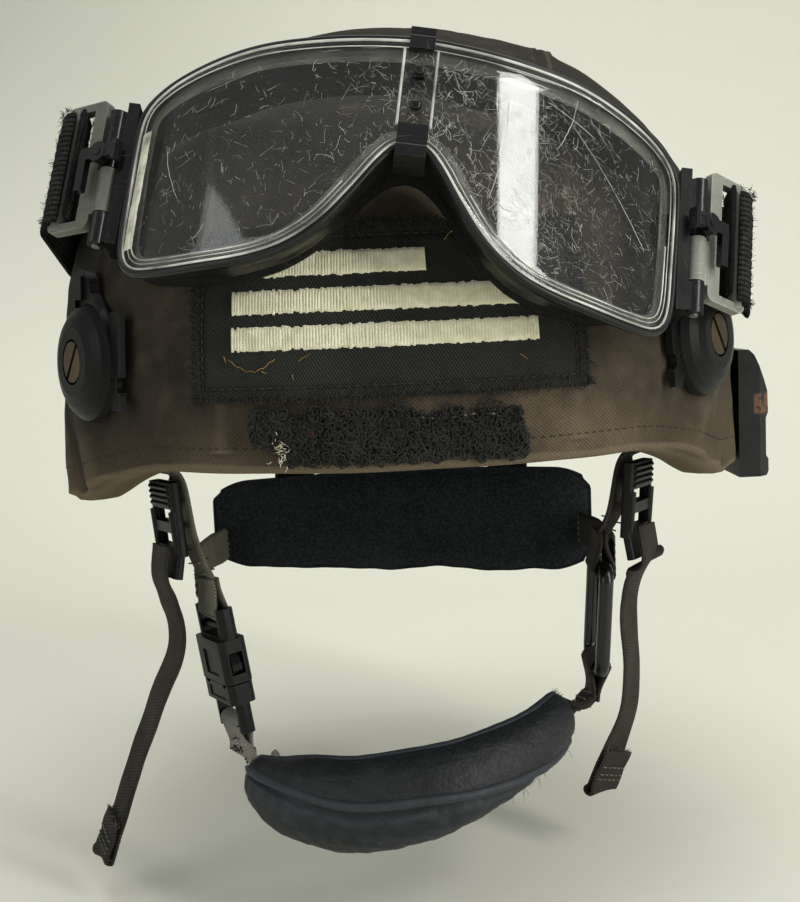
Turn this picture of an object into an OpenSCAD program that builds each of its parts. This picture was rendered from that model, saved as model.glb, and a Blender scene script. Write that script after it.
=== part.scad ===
/* [Shell] */
// Outer width of the laminated shell
shell_w = 243; // [236:1:248]
// Outer length of the laminated shell
shell_l = 273; // [266:1:278]
// Height of the shell's crown above the front brim
crown_h = 145.5; // [142:0.5:149]
// Thickness of the laminated shell
shell_t = 9; // [8:0.5:9.5]
// How far the brim drops at the ears
ear_drop = 16; // [14:1:18]
// How far the brim drops at the nape
nape_drop = 24; // [22:1:27]
// Height of the widest line of the shell above the front brim
widest_z = 20; // [16:1:24]
// Thickness of the foam impact liner
liner_t = 10; // [8:0.5:12]
// Thickness of the comfort pads
pad_t = 13; // [10:1:15]
// Wall of the rubber edge trim
trim_t = 1.4; // [1:0.1:1.6]
// Height of the rubber edge trim
trim_h = 11; // [8:1:13]

/* [Cover] */
// Thickness of the canvas cover
cloth_t = 1.4; // [1:0.1:1.6]
// Depth of the cover's main folds
fold_d = 1.6; // [0.5:0.1:2.2]
// Width of the badge panel
patch_w = 118; // [100:1:126]
// Height of the badge panel
patch_h = 50; // [40:1:52]
// Height of the badge panel's lower edge above the brim
patch_z = 22; // [21:1:24]
// Thickness of the badge panel
patch_t = 1.4; // [1:0.1:1.6]
// Length of the pile strip under the badge panel
strip_w = 78; // [60:1:90]
// Height of the pile strip
strip_h = 15; // [12:0.5:16]
// Thickness of the pile strip
strip_d = 2.2; // [1.5:0.1:2.6]

/* [Goggles] */
// Radius that the one-piece lens is rolled to
lens_r = 105; // [102:1:110]
// Thickness of the lens
lens_t = 2.2; // [1.8:0.1:2.6]
// How far the goggles lean back on the brow
goggle_tilt = 22; // [21:0.5:23]
// How far the goggles are worn askew
goggle_roll = 9; // [8:0.5:10]
// Depth of the frame's skirt behind the lens at the nose
skirt_d = 17; // [14:1:19]
// Thickness of the face foam
foam_t = 7; // [5:0.5:8]
// Width of the elastic strap
elastic_w = 37; // [32:1:38]
// Thickness of the elastic strap
elastic_t = 1.8; // [1.4:0.1:2.2]
// Distance from the bracket's hinge to its strap bar
bracket_l = 18; // [17:0.5:20]
// Thickness of the bracket's plate
bracket_t = 3; // [2.4:0.1:3.4]
// Diameter of the bracket's hinge pin
hinge_d = 2.4; // [2:0.1:3]
// Running clearance of pins and pivots on the radius
fit = 0.06; // [0.04:0.01:0.09]

/* [Visor brackets] */
// Radius of the round boss
boss_r = 19.5; // [17:0.5:20]
// Thickness of the round boss
boss_t = 8.5; // [7:0.5:9]
// Height of the boss centre above the brim
boss_z = 34; // [33:0.5:36]
// Reach of the arm above the boss centre
arm_l = 29; // [26:0.5:30]
// Diameter of the coin-slot screw's head
coin_d = 14; // [12:0.5:15]
// Diameter of the coin-slot screw's shank
coin_shank = 6; // [5:0.5:7]

/* [Chin harness] */
// Width of the webbing
web_w = 16; // [14:0.5:17]
// Thickness of the webbing
web_t = 1.6; // [1.3:0.1:1.8]
// Width of the side-release buckle
buckle_w = 25; // [24:0.5:27]
// Thickness of the side-release buckle
buckle_t = 10; // [9.5:0.25:11]
// Length of the buckle's socket half
socket_l = 27; // [26:0.5:29]
// Length of the buckle's plug half outside the socket
plug_l = 19; // [18:0.5:20]
// Rod diameter of the oval ring
ring_d = 5; // [4:0.25:5.5]
// Height of the oval ring between bar centres
ring_h = 36; // [34:0.5:38]
// Thickness of the padded chin cup
cup_t = 5; // [4:0.5:6]
// Thickness of the nape pad
nape_t = 7; // [5:0.5:9]
// Height of the nape pad
nape_h = 44; // [38:1:48]
// Width of the nape pad
nape_w = 180; // [160:1:186]

/* [Accessory bracket] */
// Length of the accessory bracket from front to back
acc_l = 58; // [48:1:64]
// Height of the accessory bracket
acc_h = 47; // [42:1:50]
// Thickness of the accessory bracket
acc_t = 12; // [10:0.5:14]

/* [Hidden] */
$fn = 48;
mid_y = 6;
plan_n = 2.1;
side_n = 2.3;
gap = 0.3;
cover_in = -(trim_t + gap + 0.3);
cover_out = cover_in - cloth_t;
around = 40;
black = [0.06, 0.06, 0.065];
soot = [0.1, 0.1, 0.11];
cloth = [0.2, 0.17, 0.14];
web_col = [0.14, 0.12, 0.11];

// Signed power, for superellipse outlines
function spow(v, e) = sign(v) * pow(abs(v), e);
function unit(v) = v / norm(v);
function mix(a, b, t) = a + (b - a) * t;
function ease(t) = let (c = min(1, max(0, t))) c * c * (3 - 2 * c);
function bump(t) = abs(t) < 1 ? pow(1 - t * t, 2) : 0;

// Height of the brim at azimuth u, measured from the front
function brim(u) =
    let (s = abs(u) > 180 ? 360 - abs(u) : abs(u))
    -ear_drop * ease((s - 34) / 34) - (nape_drop - ear_drop) * ease((s - 120) / 50);

// Point of the dome at azimuth u and height z, d inside the shell's outer face
function surf(u, z, d) =
    let (a = shell_w / 2 - d, b = shell_l / 2 - d, c = crown_h - widest_z - d,
         h = min(1, max(0, (z - widest_z) / c)), k = pow(1 - pow(h, side_n), 1 / side_n))
    [k * a * spow(sin(u), 2 / plan_n), mid_y - k * b * spow(cos(u), 2 / plan_n), z];

function surf_normal(u, z, d) =
    unit(cross(surf(u + 1, z, d) - surf(u - 1, z, d), surf(u, z + 1, d) - surf(u, z - 1, d)));

// Less than 1 inside the dome that lies d inside the shell's outer face
function dome_value(p, d) =
    let (a = shell_w / 2 - d, b = shell_l / 2 - d, c = crown_h - widest_z - d,
         h = max(0, (p.z - widest_z) / c))
    pow(pow(abs(p.x) / a, plan_n) + pow(abs(p.y - mid_y) / b, plan_n), side_n / plan_n)
    + pow(h, side_n);

// Ring k of a dome mesh: straight wall below the widest line, dome above it
function dome_ring(k, low, d, n, walls, rows, wave) =
    [for (i = [0:n - 1])
        let (u = 360 * i / n - 180, z0 = min(brim(u) + low, widest_z - 2),
             c = crown_h - widest_z - d,
             w = wave ? folds(u, k / rows) : 0)
        k < walls ? surf(u, mix(z0, widest_z, k / walls), d - w)
        : let (f = 90 * (k - walls) / (rows - walls), e = d - w,
               a = shell_w / 2 - e, b = shell_l / 2 - e, r = pow(cos(f), 2 / side_n))
          [r * a * spow(sin(u), 2 / plan_n), mid_y - r * b * spow(cos(u), 2 / plan_n),
           widest_z + c * pow(sin(f), 2 / side_n)]];

// Outward lift of the cover's folds at azimuth u and share t of the way to the crown
function folds(u, t) =
    fold_d * (bump((u + 52 + 40 * t) / 7) * bump(t / 0.5)
              + bump((u - 47 - 50 * t) / 8) * bump(t / 0.55)
              + 0.8 * bump((u + 66) / 6) * bump(t / 0.3)
              + 0.7 * bump((u - 72) / 9) * bump(t / 0.35)
              + 0.6 * bump((abs(u) - 150) / 12) * bump(t / 0.4));

// Triangles between two equal rows of point numbers
function strip_faces(a, b, n, closed) =
    [for (i = [0:closed ? n - 1 : n - 2]) let (j = (i + 1) % n)
        each [[a + i, b + i, b + j], [a + i, b + j, a + j]]];

// Solid from triangles, all turned outward whichever way round they were listed
module closed(points, faces) {
    v = [for (f = faces) cross(points[f[0]], points[f[1]]) * points[f[2]]]
        * [for (f = faces) 1];
    polyhedron(points, v > 0 ? [for (f = faces) [f[2], f[1], f[0]]] : faces);
}

// Closed bowl between an outer and an inner dome
module bowl(d_out, d_in, low_out, low_in, n, walls, rows, wave = false) {
    top_out = crown_h - d_out;
    top_in = crown_h - d_in;
    points = [for (k = [0:rows - 1]) each dome_ring(k, low_out, d_out, n, walls, rows, wave),
              for (k = [0:rows - 1]) each dome_ring(k, low_in, d_in, n, walls, rows, wave),
              [0, mid_y, top_out], [0, mid_y, top_in]];
    m = n * rows;
    faces = [for (k = [0:rows - 2]) each strip_faces(n * (k + 1), n * k, n, true),
             for (k = [0:rows - 2]) each strip_faces(m + n * k, m + n * (k + 1), n, true),
             each strip_faces(0, m, n, true),
             for (i = [0:n - 1]) [2 * m, n * (rows - 1) + i, n * (rows - 1) + (i + 1) % n],
             for (i = [0:n - 1])
                 [2 * m + 1, m + n * (rows - 1) + (i + 1) % n, m + n * (rows - 1) + i]];
    closed(points, faces);
}

// Closed solid between two equal grids of points, one over the other
module slab(upper, lower) {
    nr = len(upper);
    nc = len(upper[0]);
    m = nr * nc;
    edge = [for (j = [0:nc - 1]) j, for (i = [1:nr - 1]) i * nc + nc - 1,
            for (j = [nc - 2:-1:0]) (nr - 1) * nc + j, for (i = [nr - 2:-1:1]) i * nc];
    ne = len(edge);
    faces = [for (i = [0:nr - 2]) each strip_faces(i * nc, (i + 1) * nc, nc, false),
             for (i = [0:nr - 2]) each strip_faces(m + (i + 1) * nc, m + i * nc, nc, false),
             for (i = [0:ne - 1]) let (j = (i + 1) % ne)
                 each [[edge[i], edge[j], m + edge[j]], [edge[i], m + edge[j], m + edge[i]]]];
    closed([for (r = upper) each r, for (r = lower) each r], faces);
}

// Closed loop of equal sections
module ring_loft(sections) {
    n = len(sections);
    m = len(sections[0]);
    closed([for (s = sections) each s],
               [for (i = [0:n - 1]) each strip_faces(i * m, ((i + 1) % n) * m, m, true)]);
}

// Smooth curve through a few points
function smooth(p, k = 4) =
    [for (i = [0:len(p) - 2], j = [0:k - 1])
        let (t = j / k, a = p[max(i - 1, 0)], b = p[i], c = p[i + 1], d = p[min(i + 2, len(p) - 1)])
        b + 0.5 * t * ((c - a) + t * ((2 * a - 5 * b + 4 * c - d) + t * (3 * (b - c) + d - a))),
     p[len(p) - 1]];

// Flat webbing along a path, with its width along the given direction
module ribbon(path, w, t, across) {
    function frame(i) =
        let (a = unit(path[min(i + 1, len(path) - 1)] - path[max(i - 1, 0)]),
             c = is_list(across[0]) ? across[i] : across, b = unit(c - a * (c * a)))
        [b * w / 2, cross(a, b) * t / 2];
    slab([for (i = [0:len(path) - 1]) let (f = frame(i)) [path[i] - f[0] + f[1], path[i] + f[0] + f[1]]],
         [for (i = [0:len(path) - 1]) let (f = frame(i)) [path[i] - f[0] - f[1], path[i] + f[0] - f[1]]]);
}

// Puts a piece on the dome, its own Z along the outward normal and X down the slope
module on_dome(u, z, d) {
    n = surf_normal(u, z, d);
    translate(surf(u, z, d)) rotate([0, acos(n.z), atan2(n.y, n.x)]) children();
}

// Right-hand piece, or its mirror image on the left
module side(s) {
    if (s > 0) children();
    else mirror([1, 0, 0]) children();
}

// Patch of the dome between two azimuths and heights, crowned towards its middle
module dome_pad(u0, u1, z0, z1, d, t, nu, nz, crown = 0) {
    function lift(i, j) = t + crown * (1 - pow(2 * i / nz - 1, 4)) * (1 - pow(2 * j / nu - 1, 4));
    slab([for (i = [0:nz]) [for (j = [0:nu])
             surf(mix(u0, u1, j / nu), mix(z0, z1, i / nz), d)]],
         [for (i = [0:nz]) [for (j = [0:nu])
             surf(mix(u0, u1, j / nu), mix(z0, z1, i / nz), d + lift(i, j))]]);
}

rim_up = 3;
bolt_u = [-60, 60, -140, 140];
bolt_d = 5;
bolt_head = 12;
bolt_up = rim_up + trim_h + bolt_head / 2 + 3;

// Helmet body
module shell() color([0.3, 0.31, 0.26]) difference() {
    bowl(0, shell_t, rim_up, rim_up, around, 2, 9);
    for (u = bolt_u) on_dome(u, brim(u) + bolt_up, 0)
        cylinder(d = bolt_d + 2 * fit, h = 4 * shell_t, center = true);
    for (s = [-1, 1]) on_boss(s)
        cylinder(d = coin_shank + 2 * fit, h = 6 * shell_t, center = true);
    for (y = acc_screw_y) translate([shell_w / 2, y, acc_z])
        rotate([0, 90, 0]) cylinder(d = acc_screw_d + 2 * fit, h = 6 * shell_t, center = true);
}

// Rubber U-section round the shell's edge
module edge_trim() color(black) ring_loft([for (i = [0:around - 1])
    let (u = 360 * i / around - 180, z = brim(u) + rim_up, t = trim_t, c = gap)
    [surf(u, z - t - c, -t), surf(u, z - t - c, shell_t + t), surf(u, z + trim_h - t, shell_t + t),
     surf(u, z + trim_h - t, shell_t + c), surf(u, z - c, shell_t + c), surf(u, z - c, -c),
     surf(u, z + trim_h - t, -c), surf(u, z + trim_h - t, -t)]]);

liner_in = shell_t + gap;
liner_low = bolt_up + bolt_head / 2 + 3;

module impact_liner() color([0.16, 0.16, 0.17]) difference() {
    bowl(liner_in, liner_in + liner_t, liner_low, liner_low, around, 1, 8);
    for (s = [-1, 1]) on_boss(s) cylinder(d = nut_d + 2, h = 8 * liner_t, center = true);
    for (y = acc_screw_y) translate([shell_w / 2, y, acc_z]) rotate([0, -90, 0])
        cylinder(d = acc_screw_d + 6, h = 3 * shell_t);
}

pad_disc = 1.3;
pad_on = liner_in + liner_t + pad_disc;

module crown_pad() {
    rings = [0, 0.45, 0.8, 1];
    pad_r = 48;
    top = crown_h - pad_on + 0.6;
    function row(k, low) = [for (i = [0:23]) let (r = pad_r * rings[k], a = 15 * i)
        [r * cos(a), mid_y + r * sin(a),
         (low ? top - pad_t - 3 * (1 - pow(rings[k], 4)) : top) - 9 * rings[k] * rings[k]]];
    pts = [for (k = [1:3]) each row(k, false), for (k = [1:3]) each row(k, true),
           [0, mid_y, top], [0, mid_y, top - pad_t - 3]];
    color(soot) closed(pts, [for (k = [0:1]) each strip_faces(24 * k, 24 * (k + 1), 24, true),
                     for (k = [3:4]) each strip_faces(24 * (k + 1), 24 * k, 24, true),
                     each strip_faces(48, 120, 24, true),
                     for (i = [0:23]) [144, i, (i + 1) % 24],
                     for (i = [0:23]) [145, 72 + (i + 1) % 24, 72 + i]]);
}
module front_pad() color(soot) dome_pad(-26, 26, 38, 82, pad_on, pad_t - 2, 8, 4, 3);
module rear_pad() color(soot) dome_pad(150, 210, 22, 74, pad_on, pad_t - 2, 8, 4, 3);
module right_side_pad() color(soot) dome_pad(52, 98, 36, 82, pad_on, pad_t - 2, 8, 4, 3);
module left_side_pad() color(soot) dome_pad(-98, -52, 36, 82, pad_on, pad_t - 2, 8, 4, 3);

// Head outside the shell, spacer and plate inside, with the strap's end between them
module harness_bolts() color([0.45, 0.45, 0.46]) for (u = bolt_u)
    on_dome(u, brim(u) + bolt_up, 0) {
        translate([0, 0, 0.05]) cylinder(d = bolt_head, h = trim_t - 0.2);
        translate([0, 0, -anchor_in - 3.2]) cylinder(d = bolt_d, h = anchor_in + 3.4);
        translate([0, 0, -anchor_in + web_t / 2 + 0.7])
            cylinder(d = 9, h = anchor_in - shell_t - web_t / 2 - 1.4);
        translate([0, 0, -anchor_in - web_t / 2 - 2.7]) cylinder(d = bolt_head, h = 2);
    }

brow_gap = 19.5;
goggle_at = [6.5, mid_y - shell_l / 2 - brow_gap, 90];
bracket_turn = 33;
hinge_at = [89.5, 44];
seat = cover_out - patch_t - gap - 0.5;
lip = 1.2;
side_more = 12;
// Right half of the lens outline from the top centre to the nose arch
lens_half = [[0, 31.5], [27, 30.6], [46, 29.8], [62, 27.4], [73, 24.6], [79, 20.5], [80.5, 12],
             [80.3, -8], [79.4, -24], [75, -31], [66, -33.4], [54, -33.8], [42, -33], [32, -30],
             [23, -23.5], [15.5, -14], [9.5, -5], [5, 0], [0, 1.8]];
// Outline points added so that none lie more than a step apart
function finer(p, step) =
    [for (i = [0:len(p) - 2]) let (n = ceil(norm(p[i + 1] - p[i]) / step))
        for (k = [0:n - 1]) mix(p[i], p[i + 1], k / n), p[len(p) - 1]];
lens_side = finer(lens_half, 9);
lens_edge = [each lens_side,
             for (i = [len(lens_side) - 2:-1:1]) [-lens_side[i].x, lens_side[i].y]];

// The lens outline grown by g
function edge_out(g) =
    [for (i = [0:len(lens_edge) - 1])
        let (n = len(lens_edge), t = unit(lens_edge[(i + 1) % n] - lens_edge[(i + n - 1) % n]))
        lens_edge[i] + g * [-t.y, t.x]];
// Depth of the lens's rolled surface at x, d behind its front face
function lens_y(x, d = 0) = lens_r - sqrt(pow(lens_r - d, 2) - x * x);

// Place on the goggles, measured from the middle of the lens
function to_world(p) =
    let (a = -goggle_tilt, b = goggle_roll,
         q = [p.x, p.y * cos(a) - p.z * sin(a), p.y * sin(a) + p.z * cos(a)])
    goggle_at + [q.x * cos(b) + q.z * sin(b), q.y, q.z * cos(b) - q.x * sin(b)];
module on_goggles() translate(goggle_at) rotate([-goggle_tilt, goggle_roll, 0]) children();

// Distance back from the lens plane to the dome, found by halving
function reach(x, z, d, lo = 0, hi = 110, i = 14) =
    i == 0 ? lo
    : let (m = (lo + hi) / 2)
      dome_value(to_world([x, m, z]), d) > 1 ? reach(x, z, d, m, hi, i - 1)
                                             : reach(x, z, d, lo, m, i - 1);

// Rear edge of the frame at an outline point: [x, depth, z]
function skirt_back(p) =
    let (deep = skirt_d + side_more * pow(p.x / 80, 2), z = p.y + 0.3 * deep * ease((5 - p.y) / 20))
    [p.x, min(lens_y(p.x) + deep, reach(p.x, z, seat_at(p)) - foam_t - gap), z];
// The foam clears the visor bracket behind the lower right corner
function seat_at(p) = p.x > 60 && p.y < 0 ? seat - arm_t - gap : seat;

module goggle_frame() color(black) on_goggles() {
    lens_in = edge_out(0.35);
    front = edge_out(lip);
    outer = edge_out(lip + 1);
    ledge = edge_out(-3.2);
    inner = edge_out(0.6);
    ring_loft([for (i = [0:len(lens_edge) - 1])
        let (l = lens_in[i], b = skirt_back(outer[i]), c = skirt_back(inner[i]))
        [[l.x, lens_y(l.x) - 0.2, l.y],
         [l.x, lens_y(l.x, lens_t + gap), l.y],
         [ledge[i].x, lens_y(ledge[i].x, lens_t + gap), ledge[i].y],
         [ledge[i].x, lens_y(ledge[i].x, lens_t + gap) + 2, ledge[i].y],
         [c.x, b.y, c.z],
         [b.x, b.y, b.z],
         [front[i].x, min(lens_y(l.x, lens_t + gap) + 0.8, b.y - 0.5), front[i].y],
         [front[i].x, lens_y(front[i].x) + 0.4, front[i].y]]]);
}

module goggle_lens() color([0.75, 0.78, 0.76, 0.35]) on_goggles() intersection() {
    translate([0, lens_r, -60]) difference() {
        cylinder(r = lens_r, h = 120, $fn = 96);
        translate([0, 0, -1]) cylinder(r = lens_r - lens_t, h = 122, $fn = 96);
    }
    translate([0, 60, 0]) rotate([90, 0, 0]) linear_extrude(height = 70) polygon(lens_edge);
}

module goggle_foam() color(soot) on_goggles() {
    outer = edge_out(lip + 0.6);
    inner = edge_out(-2.6);
    ring_loft([for (i = [0:len(lens_edge) - 1])
        let (a = skirt_back(edge_out(lip + 1)[i]), o = outer[i], n = inner[i] - outer[i],
             b = [a.x + n.x, a.z + n.y], d = seat_at(outer[i]))
        [[b.x, a.y + 0.75, b.y],
         [b.x, min(a.y + foam_t, reach(b.x, b.y, d)), b.y],
         [a.x, min(a.y + foam_t, reach(a.x, a.z, d)), a.z],
         [a.x, a.y + 0.75, a.z]]]);
}

// Clip that hooks over the middle of the lens, from the top or from the nose
module lens_clip(z0, z1, w, up) difference() {
    union() {
        translate([-w / 2, -1.9, z0]) cube([w, 1.5, z1 - z0]);
        translate([-w / 2, -1.9, up > 0 ? z1 - 1.5 : z0]) cube([w, 11, 1.5]);
    }
    translate([0, -2.6, (z0 + z1) / 2 + up]) rotate([0, 90, 0])
        cylinder(d = 1.8, h = w + 2, center = true);
}
module bridge_clip() color(black) on_goggles() lens_clip(29, 35.5, 7, 1);
module nose_clip() color(black) on_goggles() lens_clip(-3.8, 5.8, 8.4, -1);

// Frame of a hinge on the goggles: X along the strap bracket, Y behind it
module on_hinge(s) on_goggles() side(s)
    translate([hinge_at.x, hinge_at.y, 0]) rotate([0, 0, bracket_turn]) children();
module knuckle(z0, z1) difference() {
    union() {
        translate([0, 0, z0]) cylinder(d = hinge_d + 3.2, h = z1 - z0);
        children();
    }
    translate([0, 0, z0 - 1]) cylinder(d = hinge_d + 2 * fit, h = z1 - z0 + 2);
}

bracket_low = -14;
bracket_high = 29;
strap_mid = (bracket_low + bracket_high) / 2;
bar_d = 4.6;
latch_z = 8;

module side_clip(s) color(black) on_hinge(s) {
    for (z = [[5, 24], [-20, -10]]) knuckle(z[0], z[1]) rotate([0, 0, -bracket_turn])
        translate([-4.2, -2.4, z[0] + 0.4]) cube([3.8, 4.8, z[1] - z[0] - 0.8]);
    rotate([0, 0, -bracket_turn]) difference() {
        translate([-6.5, -4, -20.4]) cube([3.3, 11.6, 46.4]);
        for (z = [-5, 1]) translate([-8, 5.5, z]) rotate([0, 90, 0]) cylinder(d = 2.4, h = 6);
    }
    translate([0, -2, latch_z]) rotate([90, 0, 0]) cylinder(d = 2.6, h = 4.7);
}
module left_side_clip() side_clip(-1);
module right_side_clip() side_clip(1);

module goggle_pins() color([0.4, 0.4, 0.42]) for (s = [-1, 1]) on_hinge(s)
    translate([0, 0, -20.6]) cylinder(d = hinge_d, h = 45.2);

// Plate with rounded corners in the XZ plane, centred on its thickness
module rounded_plate(x0, x1, z0, z1, r, t) rotate([90, 0, 0]) translate([0, 0, -t / 2]) {
    translate([x0 + r, z0, 0]) cube([x1 - x0 - 2 * r, z1 - z0, t]);
    translate([x0, z0 + r, 0]) cube([x1 - x0, z1 - z0 - 2 * r, t]);
    for (x = [x0 + r, x1 - r], z = [z0 + r, z1 - r]) translate([x, z, 0]) cylinder(r = r, h = t);
}

module strap_bracket(s) color([0.25, 0.25, 0.26]) on_hinge(s) {
    difference() {
        rounded_plate(4, bracket_l + 2.6, bracket_low, bracket_high, 2.4, bracket_t);
        translate([9, -bar_d, strap_mid - elastic_w / 2 - gap])
            cube([bracket_l, 2 * bar_d, elastic_w + 2 * gap]);
    }
    translate([bracket_l, 0, bracket_low + 1]) cylinder(d = bar_d, h = bracket_high - bracket_low - 2);
    knuckle(-9.6, 4.6) translate([0, -1.4, -9.6]) cube([5, 2.8, 14.2]);
}
module left_strap_bracket() strap_bracket(-1);
module right_strap_bracket() strap_bracket(1);

module lens_latch(s) color(soot) on_hinge(s) translate([0, 0, latch_z]) difference() {
    union() {
        translate([0, -3.8, 0]) rotate([90, 0, 0]) cylinder(d = 6.4, h = 2.6);
        translate([-7, -6.2, -2]) cube([14, 2.2, 4]);
        translate([4.4, -6.2, -12]) cube([2.8, 2.2, 12]);
        translate([-7, -6.2, -3.2]) cube([1.4, 3.2, 6.4]);
    }
    rotate([90, 0, 0]) cylinder(d = 2.6 + 2 * fit, h = 10);
}
module left_lens_latch() lens_latch(-1);
module right_lens_latch() lens_latch(1);

module strap_end(s) color(black) on_hinge(s)
    translate([bracket_l, 0, strap_mid - elastic_w / 2]) difference() {
        union() {
            cylinder(r = bar_d / 2 + gap + elastic_t, h = elastic_w);
            rotate([0, 0, 50]) translate([0, bar_d / 2 + gap - 1.4, 0])
                cube([9, 1.8 * elastic_t, elastic_w]);
        }
        translate([0, 0, -1]) cylinder(r = bar_d / 2 + gap, h = elastic_w + 2);
    }
module left_strap_end() strap_end(-1);
module right_strap_end() strap_end(1);

// Strap edge at share k of its width where it leaves the bracket on side s
function strap_start(s, k) =
    to_world([s * (hinge_at.x + (bracket_l + 4) * cos(bracket_turn) + 3.5), hinge_at.y
              + (bracket_l + 4) * sin(bracket_turn) + 7, strap_mid + (k - 0.5) * elastic_w]);
strap_rest = cover_out - 1.3 - elastic_t;
function strap_row(i, k) =
    let (n = 30, u = mix(78, 282, i / n), zc = u < 180 ? mix(64, 62, (u - 78) / 102)
                                                     : mix(62, 82, (u - 180) / 102),
         steep = 0.92)
    surf(u, zc + (k - 0.5) * elastic_w * steep, strap_rest);
module goggle_strap() {
    right = [for (k = [0, 1]) strap_start(1, k)];
    left = [for (k = [0, 1]) strap_start(-1, k)];
    mid = [for (i = [0:30]) [for (k = [0, 1]) strap_row(i, k)]];
    line = [for (t = [0:0.2:0.8]) [for (k = [0, 1]) mix(right[k], mid[0][k], t)],
            each mid,
            for (t = [0.2:0.2:1]) [for (k = [0, 1]) mix(mid[30][k], left[k], t)]];
    function out(i) =
        let (a = line[min(i + 1, len(line) - 1)][0] - line[max(i - 1, 0)][0],
             b = line[i][1] - line[i][0])
        unit(cross(a, b)) * elastic_t;
    color(black) slab([for (i = [0:len(line) - 1]) [for (k = [0, 1]) line[i][k]]],
         [for (i = [0:len(line) - 1]) [for (k = [0, 1]) line[i][k] - out(i)]]);
}

module strap_slider() color(black) {
    i = 20;
    a = unit(strap_row(i, 0) - strap_row(i, 1));
    b = unit(strap_row(i + 1, 0.5) - strap_row(i - 1, 0.5));
    n = unit(cross(b, -a));
    p = (strap_row(i, 0) + strap_row(i, 1)) / 2 - n * elastic_t / 2;
    multmatrix([[a.x, b.x, n.x, p.x], [a.y, b.y, n.y, p.y], [a.z, b.z, n.z, p.z], [0, 0, 0, 1]])
        translate([0, 0, elastic_t / 2 + 0.4]) difference() {
            translate([-elastic_w / 2 - 3, -7, 0]) cube([elastic_w + 6, 14, 2]);
            for (y = [-1, 1]) translate([0, y * 3.2, 1]) cube([elastic_w - 2, 2.8, 4], center = true);
        }
}

boss_u = 50;
boss_d = cover_out - 0.2 * fold_d - gap;
arm_t = 3.4;
head_h = 2.4;

// Frame of a visor bracket: X down, Y to the rear, Z outward from the cover
module on_boss(s) side(s) on_dome(boss_u, boss_z, boss_d) children();

module visor_arm(s) color(black) on_boss(s) difference() {
    union() {
        rotate_extrude() polygon([[0, 0], [boss_r - 1, 0], [boss_r, 1.2], [boss_r - 0.6, 3.4],
            [boss_r - 2.4, 5.6], [boss_r - 5, boss_t - 1.2], [boss_r - 8.5, boss_t - 0.2],
            [0, boss_t]]);
        linear_extrude(height = arm_t) polygon([[6, -boss_r + 1], [-14, -12.5], [-arm_l + 7, -4],
            [-arm_l + 7, 11], [-12, 15.5], [0, boss_r - 0.6]]);
        translate([-arm_l + 6.5, 3.5, 0]) cylinder(r = 7.4, h = arm_t);
        translate([-arm_l + 1.5, 0.5, 0]) cube([8, 7, arm_t + 1.2]);
        translate([-15.5, -boss_r - 3.4, 0.2]) cube([30.5, 6, 2.2]);
        translate([8, -boss_r + 1, 0.2]) cylinder(r = 5, h = 2.2);
    }
    translate([0, 0, -1]) cylinder(d = coin_shank + 2 * fit, h = boss_t + 2);
    translate([0, 0, boss_t - head_h - 0.3]) cylinder(d = coin_d + 0.8, h = head_h + 2);
    translate([7, -boss_r - 3.4, -1]) cylinder(d = 5, h = 5);
    translate([-arm_l + 9, -1, arm_t - 1.2]) cube([9, 9, 3]);
}
module left_visor_arm() visor_arm(-1);
module right_visor_arm() visor_arm(1);

shank_in = shell_t - boss_d + 4;
module coin_screw(s) color([0.42, 0.32, 0.22]) on_boss(s) difference() {
    union() {
        translate([0, 0, boss_t - head_h - 0.2]) cylinder(d1 = coin_d, d2 = coin_d - 1, h = head_h);
        translate([0, 0, -shank_in]) cylinder(d = coin_shank, h = shank_in + boss_t - head_h);
    }
    rotate([0, 0, 35]) translate([-coin_d, -0.9, boss_t - 1.5]) cube([2 * coin_d, 1.8, 3]);
}
module left_coin_screw() coin_screw(-1);
module right_coin_screw() coin_screw(1);

nut_d = 15;
module visor_nuts() color([0.45, 0.45, 0.46]) for (s = [-1, 1])
    on_boss(s) translate([0, 0, boss_d - shell_t - 4.6]) difference() {
        union() {
            cylinder(d = nut_d, h = 1.6);
            cylinder(d = coin_shank + 4, h = 2.8);
        }
        translate([0, 0, -1]) cylinder(d = coin_shank + 2 * fit, h = 6);
    }

acc_y = -5;
acc_z = 3;
acc_screw_d = 4;
acc_screw_y = [acc_y - 17, acc_y + 17];
acc_x = shell_w / 2 - cover_out + gap;

module accessory_bracket() color(black) translate([acc_x, acc_y, acc_z]) difference() {
    rotate([90, 0, 0]) translate([0, 0, -acc_l / 2]) linear_extrude(height = acc_l)
        polygon([[0, -acc_h / 2], [acc_t - 1, -acc_h / 2], [acc_t, -acc_h / 2 + 1.5],
            [acc_t, -acc_h / 2 + 6], [acc_t - 1.2, -acc_h / 2 + 7.5], [acc_t - 1.2, -2],
            [acc_t, 0], [acc_t - 0.3, 8], [acc_t - 2, acc_h / 2 - 11], [acc_t - 6, acc_h / 2 - 2],
            [acc_t - 8, acc_h / 2], [0, acc_h / 2]]);
    translate([acc_t - 3, -acc_l / 2 + 9, -acc_h / 2 + 10]) cube([5, acc_l - 18, 9]);
    for (e = [-1, 1]) translate([acc_t, e * acc_l / 2, 0]) rotate([0, 0, 45])
        cube([6, 6, acc_h + 2], center = true);
    for (y = acc_screw_y) translate([-1, y - acc_y, 0]) rotate([0, 90, 0]) {
        cylinder(d = acc_screw_d + 2 * fit, h = 20);
        translate([0, 0, acc_t - 3]) cylinder(d = 8.6, h = 12);
    }
}

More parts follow.
